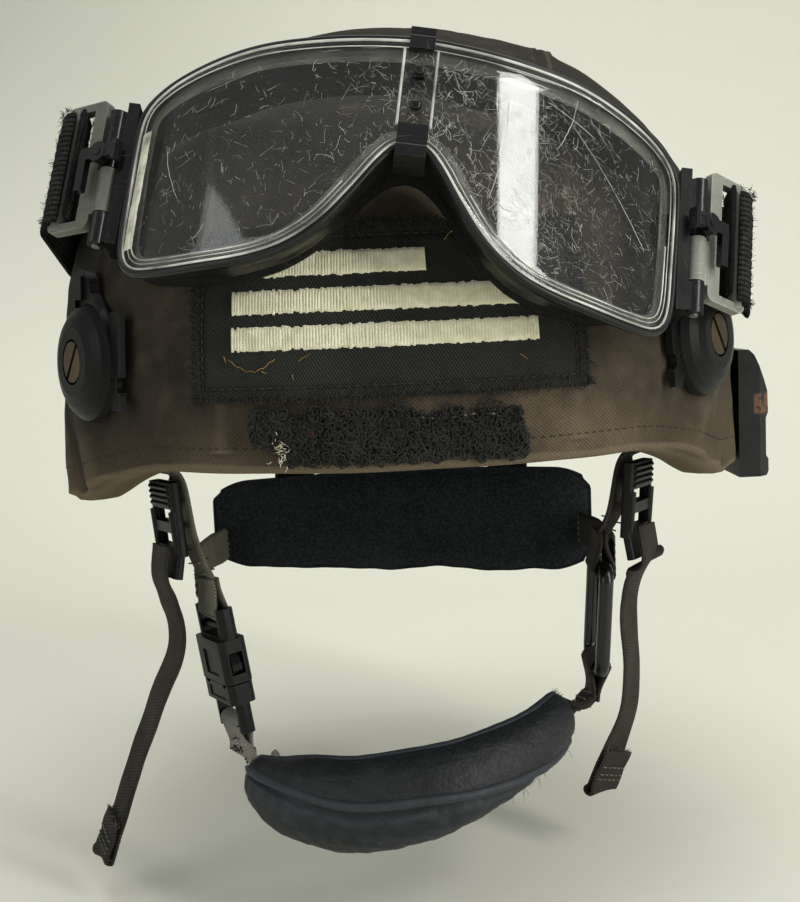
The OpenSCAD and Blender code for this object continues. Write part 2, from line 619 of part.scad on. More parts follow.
module accessory_screws() color([0.35, 0.35, 0.36]) for (y = acc_screw_y)
    translate([acc_x, y, acc_z]) rotate([0, 90, 0]) difference() {
        union() {
            translate([0, 0, acc_t - 3.9]) cylinder(d = 8, h = 2.2);
            translate([0, 0, -shell_t - 3]) cylinder(d = acc_screw_d, h = shell_t + acc_t - 1);
        }
        translate([0, 0, acc_t - 2.4]) cube([5, 1, 2], center = true);
    }

module cover() color(cloth) difference() {
    bowl(cover_out, cover_in, 0, 0, 48, 4, 12, true);
    for (s = [-1, 1]) on_boss(s) cylinder(d = coin_shank + 4, h = 30, center = true);
    for (y = acc_screw_y) translate([acc_x, y, acc_z]) rotate([0, 90, 0])
        cylinder(d = acc_screw_d + 3, h = 30, center = true);
}

module cover_hem() color(cloth) ring_loft([for (i = [0:47])
    let (u = 360 * i / 48 - 180, z = brim(u) - gap)
    [surf(u, z, cover_out), surf(u, z - 1.2, cover_out + 0.6), surf(u, z - 2, cover_out + 3),
     surf(u, z - 1.9, shell_t - 1.5), surf(u, z - 1, shell_t), surf(u, z, shell_t - 0.5)]]);

module badge_panel() {
    half = patch_w / 2;
    rows = 6;
    cols = 14;
    function at(i, j, d) =
        let (x = mix(-half, half, j / cols) - 2, a = shell_w / 2 - d,
             u = asin(spow(x / a, plan_n / 2)))
        surf(u, patch_z + patch_h * i / rows, d);
    color(black) slab([for (i = [0:rows]) [for (j = [0:cols]) at(i, j, cover_out - gap)]],
         [for (i = [0:rows]) [for (j = [0:cols]) at(i, j, cover_out - gap - patch_t)]]);
}
module pile_strip() {
    half = strip_w / 2;
    cols = 12;
    function at(i, j, d) =
        let (x = mix(-half, half, j / cols) - 3, a = shell_w / 2 - d,
             u = asin(spow(x / a, plan_n / 2)))
        surf(u, 5 + strip_h * i / 2, d);
    color(black) slab([for (i = [0:2]) [for (j = [0:cols]) at(i, j, cover_out - gap)]],
         [for (i = [0:2]) [for (j = [0:cols])
             at(i, j, cover_out - gap - strip_d * (i == 1 ? 1 : 0.6))]]);
}

strap_y = -58;
lock_l = 34;
lock_w = web_w + 6;
lock_t = 4;
lock_at = [83.2, strap_y, -9.5];
yaw = 30;
lock_lean = 4;
lean = 8;
buckle_at = [-68.6, strap_y, -54];
web_turn = [-sin(yaw), -cos(yaw), 0];
bar_r = 1.5;
play = 0.2;
slot_w = web_w + 1.4;

// Frame of the side-release buckle: X thickness, Y width, Z up its length
module on_buckle() translate(buckle_at) rotate([0, -lean, 0]) rotate([0, 0, yaw]) children();
function from_buckle(z) = buckle_at + [-z * sin(lean), 0, z * cos(lean)];

// Frame of a ladder lock: X outward, Y width, Z up its length
module on_lock(s) side(s) translate(lock_at) rotate([0, lock_lean, 0]) rotate([0, 0, -yaw]) children();
function from_lock(x, z) =
    lock_at + [x * cos(yaw) * cos(lock_lean) + z * sin(lock_lean), -x * sin(yaw),
               z * cos(lock_lean) - x * cos(yaw) * sin(lock_lean)];

// Bar of a rounded rectangular section t by w, from height z0 to z1
module rounded_bar(t, w, z0, z1, r) translate([0, 0, z0]) {
    translate([r - t / 2, -w / 2, 0]) cube([t - 2 * r, w, z1 - z0]);
    translate([-t / 2, r - w / 2, 0]) cube([t, w - 2 * r, z1 - z0]);
    for (x = [r - t / 2, t / 2 - r], y = [r - w / 2, w / 2 - r])
        translate([x, y, 0]) cylinder(r = r, h = z1 - z0);
}
module cross_bar(z, r) translate([0, 0, z]) rotate([90, 0, 0])
    cylinder(r = r, h = slot_w + 1, center = true);

cavity_w = 19.6;
cavity_t = 6.8;
cavity_top = -15;
window_low = -24;
window_h = 8;
prong_y = 7.4;
prong_t = 3.4;
socket_bar_z = -2;

module buckle_socket() color(black) on_buckle() {
    difference() {
        union() {
            rounded_bar(buckle_t, buckle_w, -socket_l, -11.5, 2.4);
            rounded_bar(6, buckle_w - 1, -12.5, -0.5, 2.2);
        }
        translate([-cavity_t / 2, -cavity_w / 2, -socket_l - 1])
            cube([cavity_t, cavity_w, cavity_top + socket_l + 1]);
        translate([-6, -slot_w / 2, -10.5]) cube([12, slot_w, 12]);
        for (s = [-1, 1]) translate([-prong_t / 2 - 0.9, s > 0 ? cavity_w / 2 - 1 : -buckle_w, window_low])
            cube([prong_t + 1.8, buckle_w - cavity_w / 2 + 1, window_h]);
        for (s = [-1, 1]) translate([s * buckle_t / 2, 0, window_low + 4])
            cube([1.2, 11, 9], center = true);
    }
    for (z = [socket_bar_z, socket_bar_z - 5.6]) cross_bar(z, bar_r);
}

plug_top = -socket_l - 0.5;
plug_bar_z = plug_top - plug_l + 3;
prong_root = plug_top + 0.5;
tongue_l = 10.5;

module buckle_plug() color(black) on_buckle() {
    difference() {
        union() {
            rounded_bar(buckle_t - 0.6, buckle_w, plug_top - 7, plug_top, 2.4);
            rounded_bar(5.4, buckle_w - 2, plug_top - plug_l + 1, plug_top - 6, 2.2);
            translate([-1.4, -2.4, plug_top - 1]) cube([2.8, 4.8, tongue_l + 1]);
        }
        translate([-6, -slot_w / 2, plug_top - plug_l - 1]) cube([12, slot_w, plug_l - 7]);
        for (s = [-1, 1]) translate([0, s * prong_y, prong_root]) rotate([0, 90, 0])
            cylinder(r = 1.5 + play, h = 12, center = true);
        for (s = [-1, 1]) translate([s * (buckle_t - 0.6) / 2, 0, plug_top - 3.6])
            cube([0.9, 15, 4], center = true);
    }
    cross_bar(plug_bar_z, bar_r);
}

module prong(s) color(black) on_buckle() translate([-prong_t / 2, 0, prong_root]) rotate([90, 0, 90]) {
    translate([s * prong_y, 0, 0]) cylinder(r = 1.5, h = prong_t);
    linear_extrude(height = prong_t)
        polygon([for (p = [[-1.3, 0.2], [1.3, 0.2], [1.3, 3.2], [4.4, 4.4], [4.6, 6.6], [2, 10.4],
                           [0, 11.2], [-1, 10.6], [-0.8, 6]]) [s * (prong_y + p.x), p.y]]);
}
module front_prong() prong(-1);
module rear_prong() prong(1);

// Webbing eye round a bar of radius r along Y, its ends sewn together l below
module web_eye(r, w, l) translate([0, w / 2, 0]) rotate([90, 0, 0]) difference() {
    union() {
        cylinder(r = r + web_t, h = w);
        linear_extrude(height = w)
            polygon([[-r - web_t, 0], [r + web_t, 0], [web_t, -l], [-web_t, -l]]);
    }
    translate([0, 0, -1]) cylinder(r = r, h = w + 2);
    translate([0, 0, -1]) linear_extrude(height = w + 2)
        polygon([[-r, 0], [r, 0], [0.3, -l * 0.6], [-0.3, -l * 0.6]]);
}

anchor_in = shell_t + trim_t + web_t / 2 + 1.2;
anchor = surf(60, brim(60) + bolt_up, anchor_in);

module anchored(path) difference() {
    ribbon(smooth([anchor + [0, 0, 6.5], anchor, anchor - [0, 0, 6.5], each path], 3),
           web_w, web_t, web_turn);
    on_dome(60, brim(60) + bolt_up, 0) cylinder(d = bolt_d + 2 * fit, h = 40, center = true);
}

eye_l = 12;
module left_side_strap() color(web_col) {
    end = from_buckle(socket_bar_z + eye_l - 1);
    side(-1) anchored([[84.5, strap_y, -4.5], [78.6, strap_y, -9.5], [75.6, strap_y, -29], [-end.x, end.y, end.z]]);
    on_buckle() translate([0, 0, socket_bar_z]) rotate([0, 180, 0])
        web_eye(bar_r + play, web_w + 0.6, eye_l);
}

ring_top = [69, strap_y, -45.4];
ring_lean = 4;
ring_low = ring_top + ring_h * [-sin(ring_lean), 0, -cos(ring_lean)];
ring_r = ring_d / 2 + play;
module right_side_strap() color(web_col) {
    anchored([[84.5, strap_y, -4.5], [78.6, strap_y, -9.5], [74.6, strap_y, -27],
              ring_top + [0.4, 0, eye_l - 2]]);
    translate(ring_top) rotate([0, 180, 0]) web_eye(ring_r, web_w + 0.6, eye_l);
}

module oval_ring() color(black) translate(ring_top) rotate([0, ring_lean, 0]) rotate([90, 0, 90]) {
    rc = 4.5;
    l = web_w + 2;
    for (y = [0, -ring_h]) translate([-l / 2, y, 0]) rotate([0, 90, 0]) cylinder(d = ring_d, h = l);
    for (x = [-1, 1]) translate([x * (l / 2 + rc), -rc, 0]) rotate([90, 0, 0])
        cylinder(d = ring_d, h = ring_h - 2 * rc);
    for (a = [0:90:270]) translate([(a == 0 || a == 270 ? 1 : -1) * l / 2,
                                    a < 180 ? -rc : rc - ring_h, 0])
        rotate([0, 0, a]) rotate_extrude(angle = 90) translate([rc, 0]) circle(d = ring_d);
}

// Three-bar lock with a ribbed top and a lip that lifts to let the webbing run
module ladder_lock(s) color(black) on_lock(s) {
    difference() {
        rounded_bar(lock_t, lock_w, -lock_l + 8, 0, 1.6);
        for (z = [-11.5, -20]) translate([-6, -slot_w / 2, z - 2.4]) cube([12, slot_w, 4.8]);
    }
    for (i = [0:3]) translate([lock_t / 2, 0, -1.6 - 2 * i]) rotate([90, 0, 0])
        cylinder(d = 1.6, h = lock_w - 4, center = true);
    translate([0, 0, -lock_l + 9]) rotate([0, -14, 0]) rounded_bar(3, lock_w - 3, -9, 1, 1.2);
    for (y = [-1, 1]) translate([1.4, y * (lock_w / 2 - 1.6), -lock_l + 10])
        cylinder(d1 = 2.6, d2 = 3.2, h = 14);
}
module left_ladder_lock() ladder_lock(-1);
module right_ladder_lock() ladder_lock(1);

// Free end of the webbing, its last stretch folded double and sewn
module tail(path, turns) {
    line = smooth(path, 3);
    ribbon(line, web_w, web_t, smooth(turns, 3));
    last = len(line) - 1;
    dir = unit(line[last] - line[last - 1]);
    ribbon([line[last] - dir, line[last] + 9 * dir], web_w + 1, 2.6 * web_t, turns[len(turns) - 1]);
}
out_x = lock_t / 2 + web_t / 2 + 1.1;
module left_tail() color(web_col) side(-1)
    tail([from_lock(out_x, -22), from_lock(out_x + 2, -33), [83.5, -60, -52], [81.5, -60, -66],
          [88.5, -60, -84], [96.6, -59, -103], [104, -58, -122], [110, -57, -138]],
         [web_turn, web_turn, [-0.55, -0.84, 0], [-0.5, -0.86, 0], [-0.5, -0.86, 0.1],
          [-0.5, -0.84, 0.18], [-0.5, -0.84, 0.18], [-0.5, -0.84, 0.18]]);
module right_tail() color(web_col)
    tail([from_lock(out_x, -22), from_lock(out_x + 2, -33), [84, -53, -48], [82, -46, -58],
          [81.5, -41, -74], [83, -38, -90], [80.5, -37, -109], [73, -37, -128]],
         [web_turn, web_turn, [-0.55, -0.84, 0], [-0.5, -0.86, 0], [-0.5, -0.86, 0],
          [-0.5, -0.86, 0], [-0.6, -0.8, 0], [-0.8, -0.6, 0]]);

nape_y = mid_y + shell_l / 2 - 24.5;
nape_top = -32;
nape_sag = 22;
nape_tilt = 3;
module nape_pad() {
    rows = 4;
    cols = 12;
    function at(i, j, f) =
        let (x = nape_w * (j / cols - 0.5), k = 2 * x / nape_w, s = 2 * i / rows - 1,
             thick = nape_t * (0.35 + 0.65 * (1 - pow(s, 4)) * (1 - pow(k, 8))))
        [x, nape_y - nape_sag * k * k + f * thick / 2,
         nape_top - nape_h * i / rows * (1 - 0.12 * k * k) - (x + nape_w / 2) * sin(nape_tilt)
         * (i / rows)];
    color(black) slab([for (i = [0:rows]) [for (j = [0:cols]) at(i, j, 1)]],
         [for (i = [0:rows]) [for (j = [0:cols]) at(i, j, -1)]]);
}

hanger_x = [-52, 0, 52];
module nape_hangers() color(web_col) for (x = hanger_x) {
    k = 2 * x / nape_w;
    y = nape_y - nape_sag * k * k + nape_t / 2 + web_t / 2 + 0.5;
    a = shell_w / 2 - anchor_in - 1;
    u = 180 - asin(spow(x / a, plan_n / 2));
    wall = unit(surf(u - 1, 0, 0) - surf(u + 1, 0, 0));
    back = unit([1, -4 * nape_sag * k / nape_w, 0]);
    ribbon(smooth([surf(u, brim(u) + 24, shell_t + web_t / 2 + 0.9), surf(u, brim(u) + 13, anchor_in),
                   surf(u, brim(u) - 2, anchor_in + 0.4), [x, y, nape_top - 5],
                   [x, y, nape_top - 14]], 2),
           20, web_t, smooth([wall, wall, wall, back, back], 2));
}

module rear_strap(s) color(web_col) {
    k = 1 - 5 / nape_w;
    ribbon(smooth([[s * 74.4, strap_y + 8.4, -46], [s * 80, -20, -52], [s * 88, 30, -58],
                   [s * 89, 70, -60], [s * (nape_w / 2 - 4), nape_y - nape_sag * k - nape_t / 2 - 3, -61]],
                  3), web_w, web_t, [0, 0, 1]);
}
module left_rear_strap() rear_strap(-1);
module right_rear_strap() rear_strap(1);

// Chin cup stations: centre of the section, its radius, upper and lower angle
cup_path = [[-50, -70, -113], [-43, -77, -115], [-32, -84, -115], [-18, -89, -115],
            [-3, -90, -113], [12, -88, -110], [25, -82, -106.5], [36, -75, -103],
            [43, -68, -100], [47, -62.5, -98]];
cup_size = [[8, 60, -60], [11, 70, -80], [13.5, 75, -105], [14.5, 75, -115], [14.5, 75, -115],
            [13.5, 72, -110], [12, 70, -95], [10.5, 68, -80], [9.5, 66, -70], [8.5, 64, -64]];
module chin_cup() {
    path = smooth(cup_path, 2);
    size = smooth(cup_size, 2);
    cols = 8;
    function at(i, j, f) =
        let (c = path[i], q = size[i], a = mix(q[1], q[2], j / cols),
             d = unit([c.x, c.y + 30, 0]), s = 2 * j / cols - 1,
             r = q[0] + f * cup_t / 2 * (0.4 + 0.6 * (1 - pow(s, 4))))
        c + r * (cos(a) * d + [0, 0, sin(a)]);
    color([0.1, 0.11, 0.14]) slab([for (i = [0:len(path) - 1]) [for (j = [0:cols]) at(i, j, 1)]],
         [for (i = [0:len(path) - 1]) [for (j = [0:cols]) at(i, j, -1)]]);
}

module left_chin_web() color(web_col) {
    on_buckle() translate([0, 0, plug_bar_z]) web_eye(bar_r + play, web_w + 0.6, eye_l);
    ribbon(smooth([from_buckle(plug_bar_z - eye_l + 2), [-59, -60, -108], [-53.5, -65, -112.5],
                   [-50.5, -67.2, -113.2]], 3), web_w, 1.8 * web_t,
           smooth([[-sin(yaw), cos(yaw), 0], [-sin(yaw), cos(yaw), 0], [-0.5, 0.8, 0.3],
                   [-0.4, 0.6, 0.7]], 3));
}
module right_chin_web() color(web_col) {
    translate(ring_low) rotate([0, 8, 0]) web_eye(ring_r, web_w + 0.6, eye_l);
    ribbon(smooth([ring_low + [-1.6, 0, -eye_l + 1], [60.5, -59.2, -95.6], [54.8, -59.6, -97.6],
                   [48.8, -60, -98.2]], 3),
           web_w, 2 * web_t,
           smooth([[0, -1, 0.1], [0, -1, 0.2], [-0.2, -0.7, 0.65], [-0.25, -0.35, 0.9]], 3));
}

shell();
edge_trim();
impact_liner();
crown_pad();
front_pad();
rear_pad();
left_side_pad();
right_side_pad();
cover();
cover_hem();
badge_panel();
pile_strip();
harness_bolts();
goggle_frame();
goggle_lens();
goggle_foam();
bridge_clip();
nose_clip();
left_side_clip();
right_side_clip();
goggle_pins();
left_strap_bracket();
right_strap_bracket();
left_lens_latch();
right_lens_latch();
left_strap_end();
right_strap_end();
goggle_strap();
strap_slider();
left_visor_arm();
right_visor_arm();
left_coin_screw();
right_coin_screw();
visor_nuts();
accessory_bracket();
accessory_screws();
left_side_strap();
right_side_strap();
left_ladder_lock();
right_ladder_lock();
left_tail();
right_tail();
left_rear_strap();
right_rear_strap();
nape_pad();
nape_hangers();
buckle_socket();
buckle_plug();
front_prong();
rear_prong();
left_chin_web();
chin_cup();
right_chin_web();
oval_ring();
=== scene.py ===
import math
import random

import bpy
from mathutils import Matrix, Vector, noise


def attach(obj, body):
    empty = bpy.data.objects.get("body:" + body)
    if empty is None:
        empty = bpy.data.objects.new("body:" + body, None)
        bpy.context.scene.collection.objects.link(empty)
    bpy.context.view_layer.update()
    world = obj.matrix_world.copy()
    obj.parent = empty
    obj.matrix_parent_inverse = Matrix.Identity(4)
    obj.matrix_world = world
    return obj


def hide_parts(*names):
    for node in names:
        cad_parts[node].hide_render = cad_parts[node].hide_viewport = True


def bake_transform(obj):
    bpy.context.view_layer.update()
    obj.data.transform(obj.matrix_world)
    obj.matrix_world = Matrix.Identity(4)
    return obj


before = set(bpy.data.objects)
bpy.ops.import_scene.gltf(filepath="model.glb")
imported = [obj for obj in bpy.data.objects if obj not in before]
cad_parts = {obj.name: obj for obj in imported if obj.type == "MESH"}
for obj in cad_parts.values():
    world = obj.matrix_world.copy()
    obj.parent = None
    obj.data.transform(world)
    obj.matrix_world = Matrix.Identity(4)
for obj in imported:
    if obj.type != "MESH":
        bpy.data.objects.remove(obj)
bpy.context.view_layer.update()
scene = bpy.context.scene
mm = 0.001
print("frame loaded:", len(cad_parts), "nodes")


class Wire:
    # A socket in an expression; numbers and other wires join it through Math nodes
    def __init__(self, finish, socket):
        self.finish = finish
        self.socket = socket

    def maths(self, kind, *values, clamp=False):
        return self.finish.node("ShaderNodeMath", {"operation": kind, "use_clamp": clamp},
                                dict(enumerate(values)))

    def __add__(self, other):
        return self.maths("ADD", self, other)

    def __sub__(self, other):
        return self.maths("SUBTRACT", self, other)

    def __rsub__(self, other):
        return self.maths("SUBTRACT", other, self)

    def __mul__(self, other):
        return self.maths("MULTIPLY", self, other)

    def __abs__(self):
        return self.maths("ABSOLUTE", self)

    __radd__ = __add__
    __rmul__ = __mul__

    def sine(self):
        return self.maths("SINE", self)

    def kept(self):
        # held between 0 and 1
        return self.maths("ADD", self, 0, clamp=True)

    def above(self, edge, soft):
        # 0 below the edge, 1 a soft step over it
        return self.maths("DIVIDE", self - edge, soft, clamp=True)

    def most(self, other):
        return self.maths("MAXIMUM", self, other)


class Finish:
    # One material: a Principled shader and the nodes that feed it
    def __init__(self, name, **constants):
        self.material = bpy.data.materials.new(name)
        self.material.use_nodes = True
        self.tree = self.material.node_tree
        self.tree.nodes.clear()
        self.end = self.tree.nodes.new("ShaderNodeOutputMaterial")
        self.shader = self.tree.nodes.new("ShaderNodeBsdfPrincipled")
        self.tree.links.new(self.shader.outputs[0], self.end.inputs[0])
        self.normal = None
        for name, value in constants.items():
            self.put(name.replace("_", " "), value)

    def put(self, name, value):
        self.feed(self.shader.inputs[name], value)

    def feed(self, socket, value):
        if isinstance(value, Wire):
            self.tree.links.new(value.socket, socket)
        elif isinstance(value, (tuple, list)) and len(value) == 3 and socket.type == "RGBA":
            socket.default_value = (*value, 1)
        else:
            socket.default_value = value

    def node(self, kind, settings=None, values=None, out=0):
        made = self.tree.nodes.new(kind)
        for name, value in (settings or {}).items():
            if name == "stops":
                ramp = made.color_ramp
                while len(ramp.elements) < len(value):
                    ramp.elements.new(0.5)
                for element, (place, colour) in zip(ramp.elements, value):
                    element.position = place
                    element.color = (*colour, 1) if hasattr(colour, "__len__") else (colour,) * 3 + (1,)
            else:
                setattr(made, name, value)
        for name, value in (values or {}).items():
            self.feed(made.inputs[name], value)
        return Wire(self, made.outputs[out])

    def place(self, of="Object"):
        return self.node("ShaderNodeTexCoord", out=of)

    def axes(self, where):
        return [self.node("ShaderNodeSeparateXYZ", None, {0: where}, out=k) for k in range(3)]

    def spots(self, scale, detail=3.0, rough=0.5, where=None, bend=0.0):
        return self.node("ShaderNodeTexNoise", None,
                         {"Vector": where or self.place(), "Scale": scale, "Detail": detail,
                          "Roughness": rough, "Distortion": bend})

    def cells(self, scale, where=None, feature="F1", out="Distance"):
        return self.node("ShaderNodeTexVoronoi", {"feature": feature},
                         {"Vector": where or self.place(), "Scale": scale}, out=out)

    def blend(self, mask, first, second, kind="MIX"):
        return self.node("ShaderNodeMix", {"data_type": "RGBA", "blend_type": kind},
                         {0: mask, 6: first, 7: second}, out=2)

    def ramp(self, value, *stops):
        return self.node("ShaderNodeValToRGB", {"stops": stops}, {0: value})

    def coloured(self, value, *stops):
        # A ramp that feeds Base Color
        self.put("Base Color", self.ramp(value, *stops))

    def stretched(self, where, sizes):
        return self.node("ShaderNodeVectorMath", {"operation": "MULTIPLY"}, {0: where, 1: sizes})

    def raised(self, height, distance, strength=1.0):
        # A Bump that feeds Normal, after any that was there before
        values = {"Height": height, "Distance": distance, "Strength": strength}
        if self.normal:
            values["Normal"] = self.normal
        self.normal = self.node("ShaderNodeBump", None, values)
        self.put("Normal", self.normal)

    def crests(self, low, high):
        # 1 on the high places of a fine mesh, from its own pointiness
        sharp = self.node("ShaderNodeNewGeometry", out="Pointiness")
        return sharp.above(low, high - low)

    def edges(self, radius=0.8, gain=5.0):
        # 1 along an edge: the surface's own normal against one rounded over
        rounded = self.node("ShaderNodeBevel", {"samples": 4}, {"Radius": radius * mm})
        own = self.node("ShaderNodeNewGeometry", out="Normal")
        turn = self.node("ShaderNodeVectorMath", {"operation": "DOT_PRODUCT"}, {0: rounded, 1: own}, "Value")
        return ((1 - turn) * gain).kept()


def rgb(red, green, blue):
    # A colour as seen on screen, 0 to 255, as the shader wants it
    def line(v):
        v /= 255
        return v / 12.92 if v <= 0.04045 else ((v + 0.055) / 1.055) ** 2.4
    return (line(red), line(green), line(blue))


def lighter(colour, gain, lift):
    return tuple(min(1, gain * c + lift) for c in colour)


# The helmet's form in mm: a superellipse in plan and from the side, over a brim that drops
helmet = {
    "width": 243, "length": 273, "crown": 145.5, "earDrop": 16, "napeDrop": 24, "widest": 20,
    "middle": 6, "plan": 2.1, "side": 2.3, "walls": 0.16, "coverOut": -3.4, "fold": 1.6,
}


def ease(t):
    c = min(1, max(0, t))
    return c * c * (3 - 2 * c)


def bump(t):
    return (1 - t * t) ** 2 if abs(t) < 1 else 0.0


def mix(a, b, t):
    return a + (b - a) * t


def power(v, e):
    return math.copysign(abs(v) ** e, v)


def lumps(x, y=0, z=0):
    # Smooth noise at a place
    return noise.noise(Vector((x, y, z)))


def scatter(rng):
    return Vector((rng.uniform(-1, 1), rng.uniform(-1, 1), rng.uniform(-1, 1)))


def brim(u):
    s = abs((u + 180) % 360 - 180)
    drop = helmet["earDrop"]
    return -drop * ease((s - 34) / 34) - (helmet["napeDrop"] - drop) * ease((s - 120) / 50)


def halves(d):
    # Half width, half length and dome height of the surface d inside the shell's outer face
    return helmet["width"] / 2 - d, helmet["length"] / 2 - d, helmet["crown"] - helmet["widest"] - d


def oval(u, share, z, d):
    # Point at azimuth u on the plan's outline, drawn in to a share of its size
    a, b, _ = halves(d)
    r = math.radians(u)
    return Vector((share * a * power(math.sin(r), 2 / helmet["plan"]),
                   helmet["middle"] - share * b * power(math.cos(r), 2 / helmet["plan"]), z))


def dome(u, z, d):
    # Point at azimuth u and height z, d inside the shell's outer face
    h = min(1, max(0, (z - helmet["widest"]) / halves(d)[2]))
    return oval(u, (1 - h ** helmet["side"]) ** (1 / helmet["side"]), z, d)


def domeOut(u, z, d=0):
    east = dome(u + 1, z, d) - dome(u - 1, z, d)
    north = dome(u, z + 1, d) - dome(u, z - 1, d)
    return east.cross(north).normalized()


def domeUp(u, t, d, low):
    # Point at share t of the way from height low over the crown
    walls = helmet["walls"]
    if t < walls:
        return dome(u, mix(low, helmet["widest"], t / walls), d)
    f = math.radians(90 * (t - walls) / (1 - walls))
    rise = halves(d)[2] * math.sin(f) ** (2 / helmet["side"])
    return oval(u, max(0.0, math.cos(f)) ** (2 / helmet["side"]), helmet["widest"] + rise, d)


def azimuthAt(x, d):
    return math.degrees(math.asin(max(-1, min(1, power(x / halves(d)[0], helmet["plan"] / 2)))))


def piece(name, points, faces, finish, body="helmet", instead=(), slot=None, corners=None):
    mesh = bpy.data.meshes.new(name)
    mesh.from_pydata([Vector(p) * mm for p in points], [], faces)
    if corners:
        layer = mesh.uv_layers.new(name="flat")
        for loop, corner in zip(layer.data, (c for face in corners for c in face)):
            loop.uv = corner
    mesh.polygons.foreach_set("use_smooth", [True] * len(mesh.polygons))
    mesh.materials.append(finish.material)
    made = bpy.data.objects.new(name, mesh)
    scene.collection.objects.link(made)
    if body:
        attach(made, body)
    if instead:
        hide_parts(*instead)
    return made


def stance(path, i, across):
    # Way along a path at its point i, with the width and outward directions there
    last = len(path) - 1
    way = (path[min(i + 1, last)] - path[max(i - 1, 0)]).normalized()
    side = Vector(across or way.orthogonal())
    side = (side - way * way.dot(side)).normalized()
    return way, side, way.cross(side)


class Cloth:
    # Points and faces gathered for one piece, with flat sizes in mm for its weave
    def __init__(self):
        self.points, self.faces, self.corners = [], [], []

    def grid(self, rows, closedAcross=False, closedAlong=False, flip=False):
        base = len(self.points)
        m, n = len(rows), len(rows[0])
        self.points += [Vector(p) for row in rows for p in row]
        at = lambda i, j: base + (i % m) * n + j % n
        along, across = [0], [0]
        for i in range(m):
            along.append(along[-1] + (Vector(rows[(i + 1) % m][n // 2]) - Vector(rows[i][n // 2])).length)
        for j in range(n):
            across.append(across[-1] + (Vector(rows[m // 2][(j + 1) % n]) - Vector(rows[m // 2][j])).length)
        for i in range(m if closedAlong else m - 1):
            for j in range(n if closedAcross else n - 1):
                face = [(i, j), (i, j + 1), (i + 1, j + 1), (i + 1, j)]
                if flip:
                    face.reverse()
                self.faces.append([at(*f) for f in face])
                self.corners.append([(across[f[1]], along[f[0]]) for f in face])
        return base

    def cap(self, start, count, flip=False):
        # Fan over a closed row of points
        row = [start + k for k in range(count)]
        self.points.append(sum((self.points[k] for k in row), Vector()) / count)
        last = len(self.points) - 1
        for a, b in zip(row, row[1:] + row[:1]):
            self.faces.append([b, a, last] if flip else [a, b, last])
            self.corners.append([(0, 0)] * 3)

    def sleeve(self, rows, ends=True):
        # Rows closed into rings, with a cap on either end
        base = self.grid(rows, closedAcross=True)
        count = len(rows[0])
        if ends:
            self.cap(base, count, flip=True)
            self.cap(base + (len(rows) - 1) * count, count)

    def joined(self, loop, step, flip=False):
        # Faces between a loop of point numbers and the same loop a step further on
        for a, b in zip(loop, loop[1:] + loop[:1]):
            self.faces.append([b, a, a + step, b + step] if flip else [a, b, b + step, a + step])
            self.corners.append([(0, 0)] * 4)

    def tube(self, path, radius, sides=6, ends=True):
        path = [Vector(p) for p in path]
        rows = []
        side = None
        for i, p in enumerate(path):
            _, side, up = stance(path, i, side)
            r = radius[i] if hasattr(radius, "__len__") else radius
            rows.append([p + r * (math.cos(t) * side + math.sin(t) * up)
                         for t in (2 * math.pi * k / sides for k in range(sides))])
        self.sleeve(rows, ends)

    def build(self, name, finish, **how):
        return piece(name, self.points, self.faces, finish, corners=self.corners, **how)


def border(columns, rows):
    # Point numbers round a grid of so many columns and rows of faces
    n = columns + 1
    return (list(range(n)) + [i * n + columns for i in range(1, rows + 1)]
            + [rows * n + j for j in range(columns - 1, -1, -1)] + [i * n for i in range(rows - 1, 0, -1)])


def curve(points, parts=6):
    # Smooth line through a few points
    p = [Vector(q) for q in points]
    made = []
    for i in range(len(p) - 1):
        a, b, c, d = p[max(i - 1, 0)], p[i], p[i + 1], p[min(i + 2, len(p) - 1)]
        for j in range(parts):
            t = j / parts
            bend = 2 * a - 5 * b + 4 * c - d
            made.append(b + 0.5 * t * ((c - a) + t * (bend + t * (3 * (b - c) + d - a))))
    return made + [p[-1]]


def evenly(points, step):
    # The same line with points a set distance apart
    total = sum((b - a).length for a, b in zip(points, points[1:]))
    count = max(2, round(total / step))
    made, i, done = [points[0].copy()], 0, 0.0
    for k in range(1, count):
        want = total * k / count
        while i < len(points) - 2 and done + (points[i + 1] - points[i]).length < want:
            done += (points[i + 1] - points[i]).length
            i += 1
        span = (points[i + 1] - points[i]).length or 1e-9
        made.append(points[i].lerp(points[i + 1], (want - done) / span))
    return made + [points[-1].copy()]


def steps(low, high, count):
    # Even steps from low to high, both ends in
    return [mix(low, high, k / count) for k in range(count + 1)]


# Camera at the photograph's height and lean, taken from one solve of the whole view
view = {"lens": 56.25, "pitch": 6.5, "roll": 2.5, "at": (0, -0.492, 0.047)}
pitch, roll = math.radians(view["pitch"]), math.radians(view["roll"])
ahead = Vector((0, math.cos(pitch), -math.sin(pitch)))
level = Vector((0, math.sin(pitch), math.cos(pitch)))
aside = math.cos(roll) * Vector((1, 0, 0)) - math.sin(roll) * level
upward = math.sin(roll) * Vector((1, 0, 0)) + math.cos(roll) * level
camera = bpy.data.objects.new("camera", bpy.data.cameras.new("camera"))
scene.collection.objects.link(camera)
camera.data.lens = view["lens"]
camera.data.sensor_width = 36
camera.data.sensor_fit = "HORIZONTAL"
camera.data.clip_start = 0.01
camera.matrix_world = Matrix.Translation(view["at"]) @ Matrix((aside, upward, -ahead)).transposed().to_4x4()
scene.camera = camera
scene.view_settings.view_transform = "Standard"

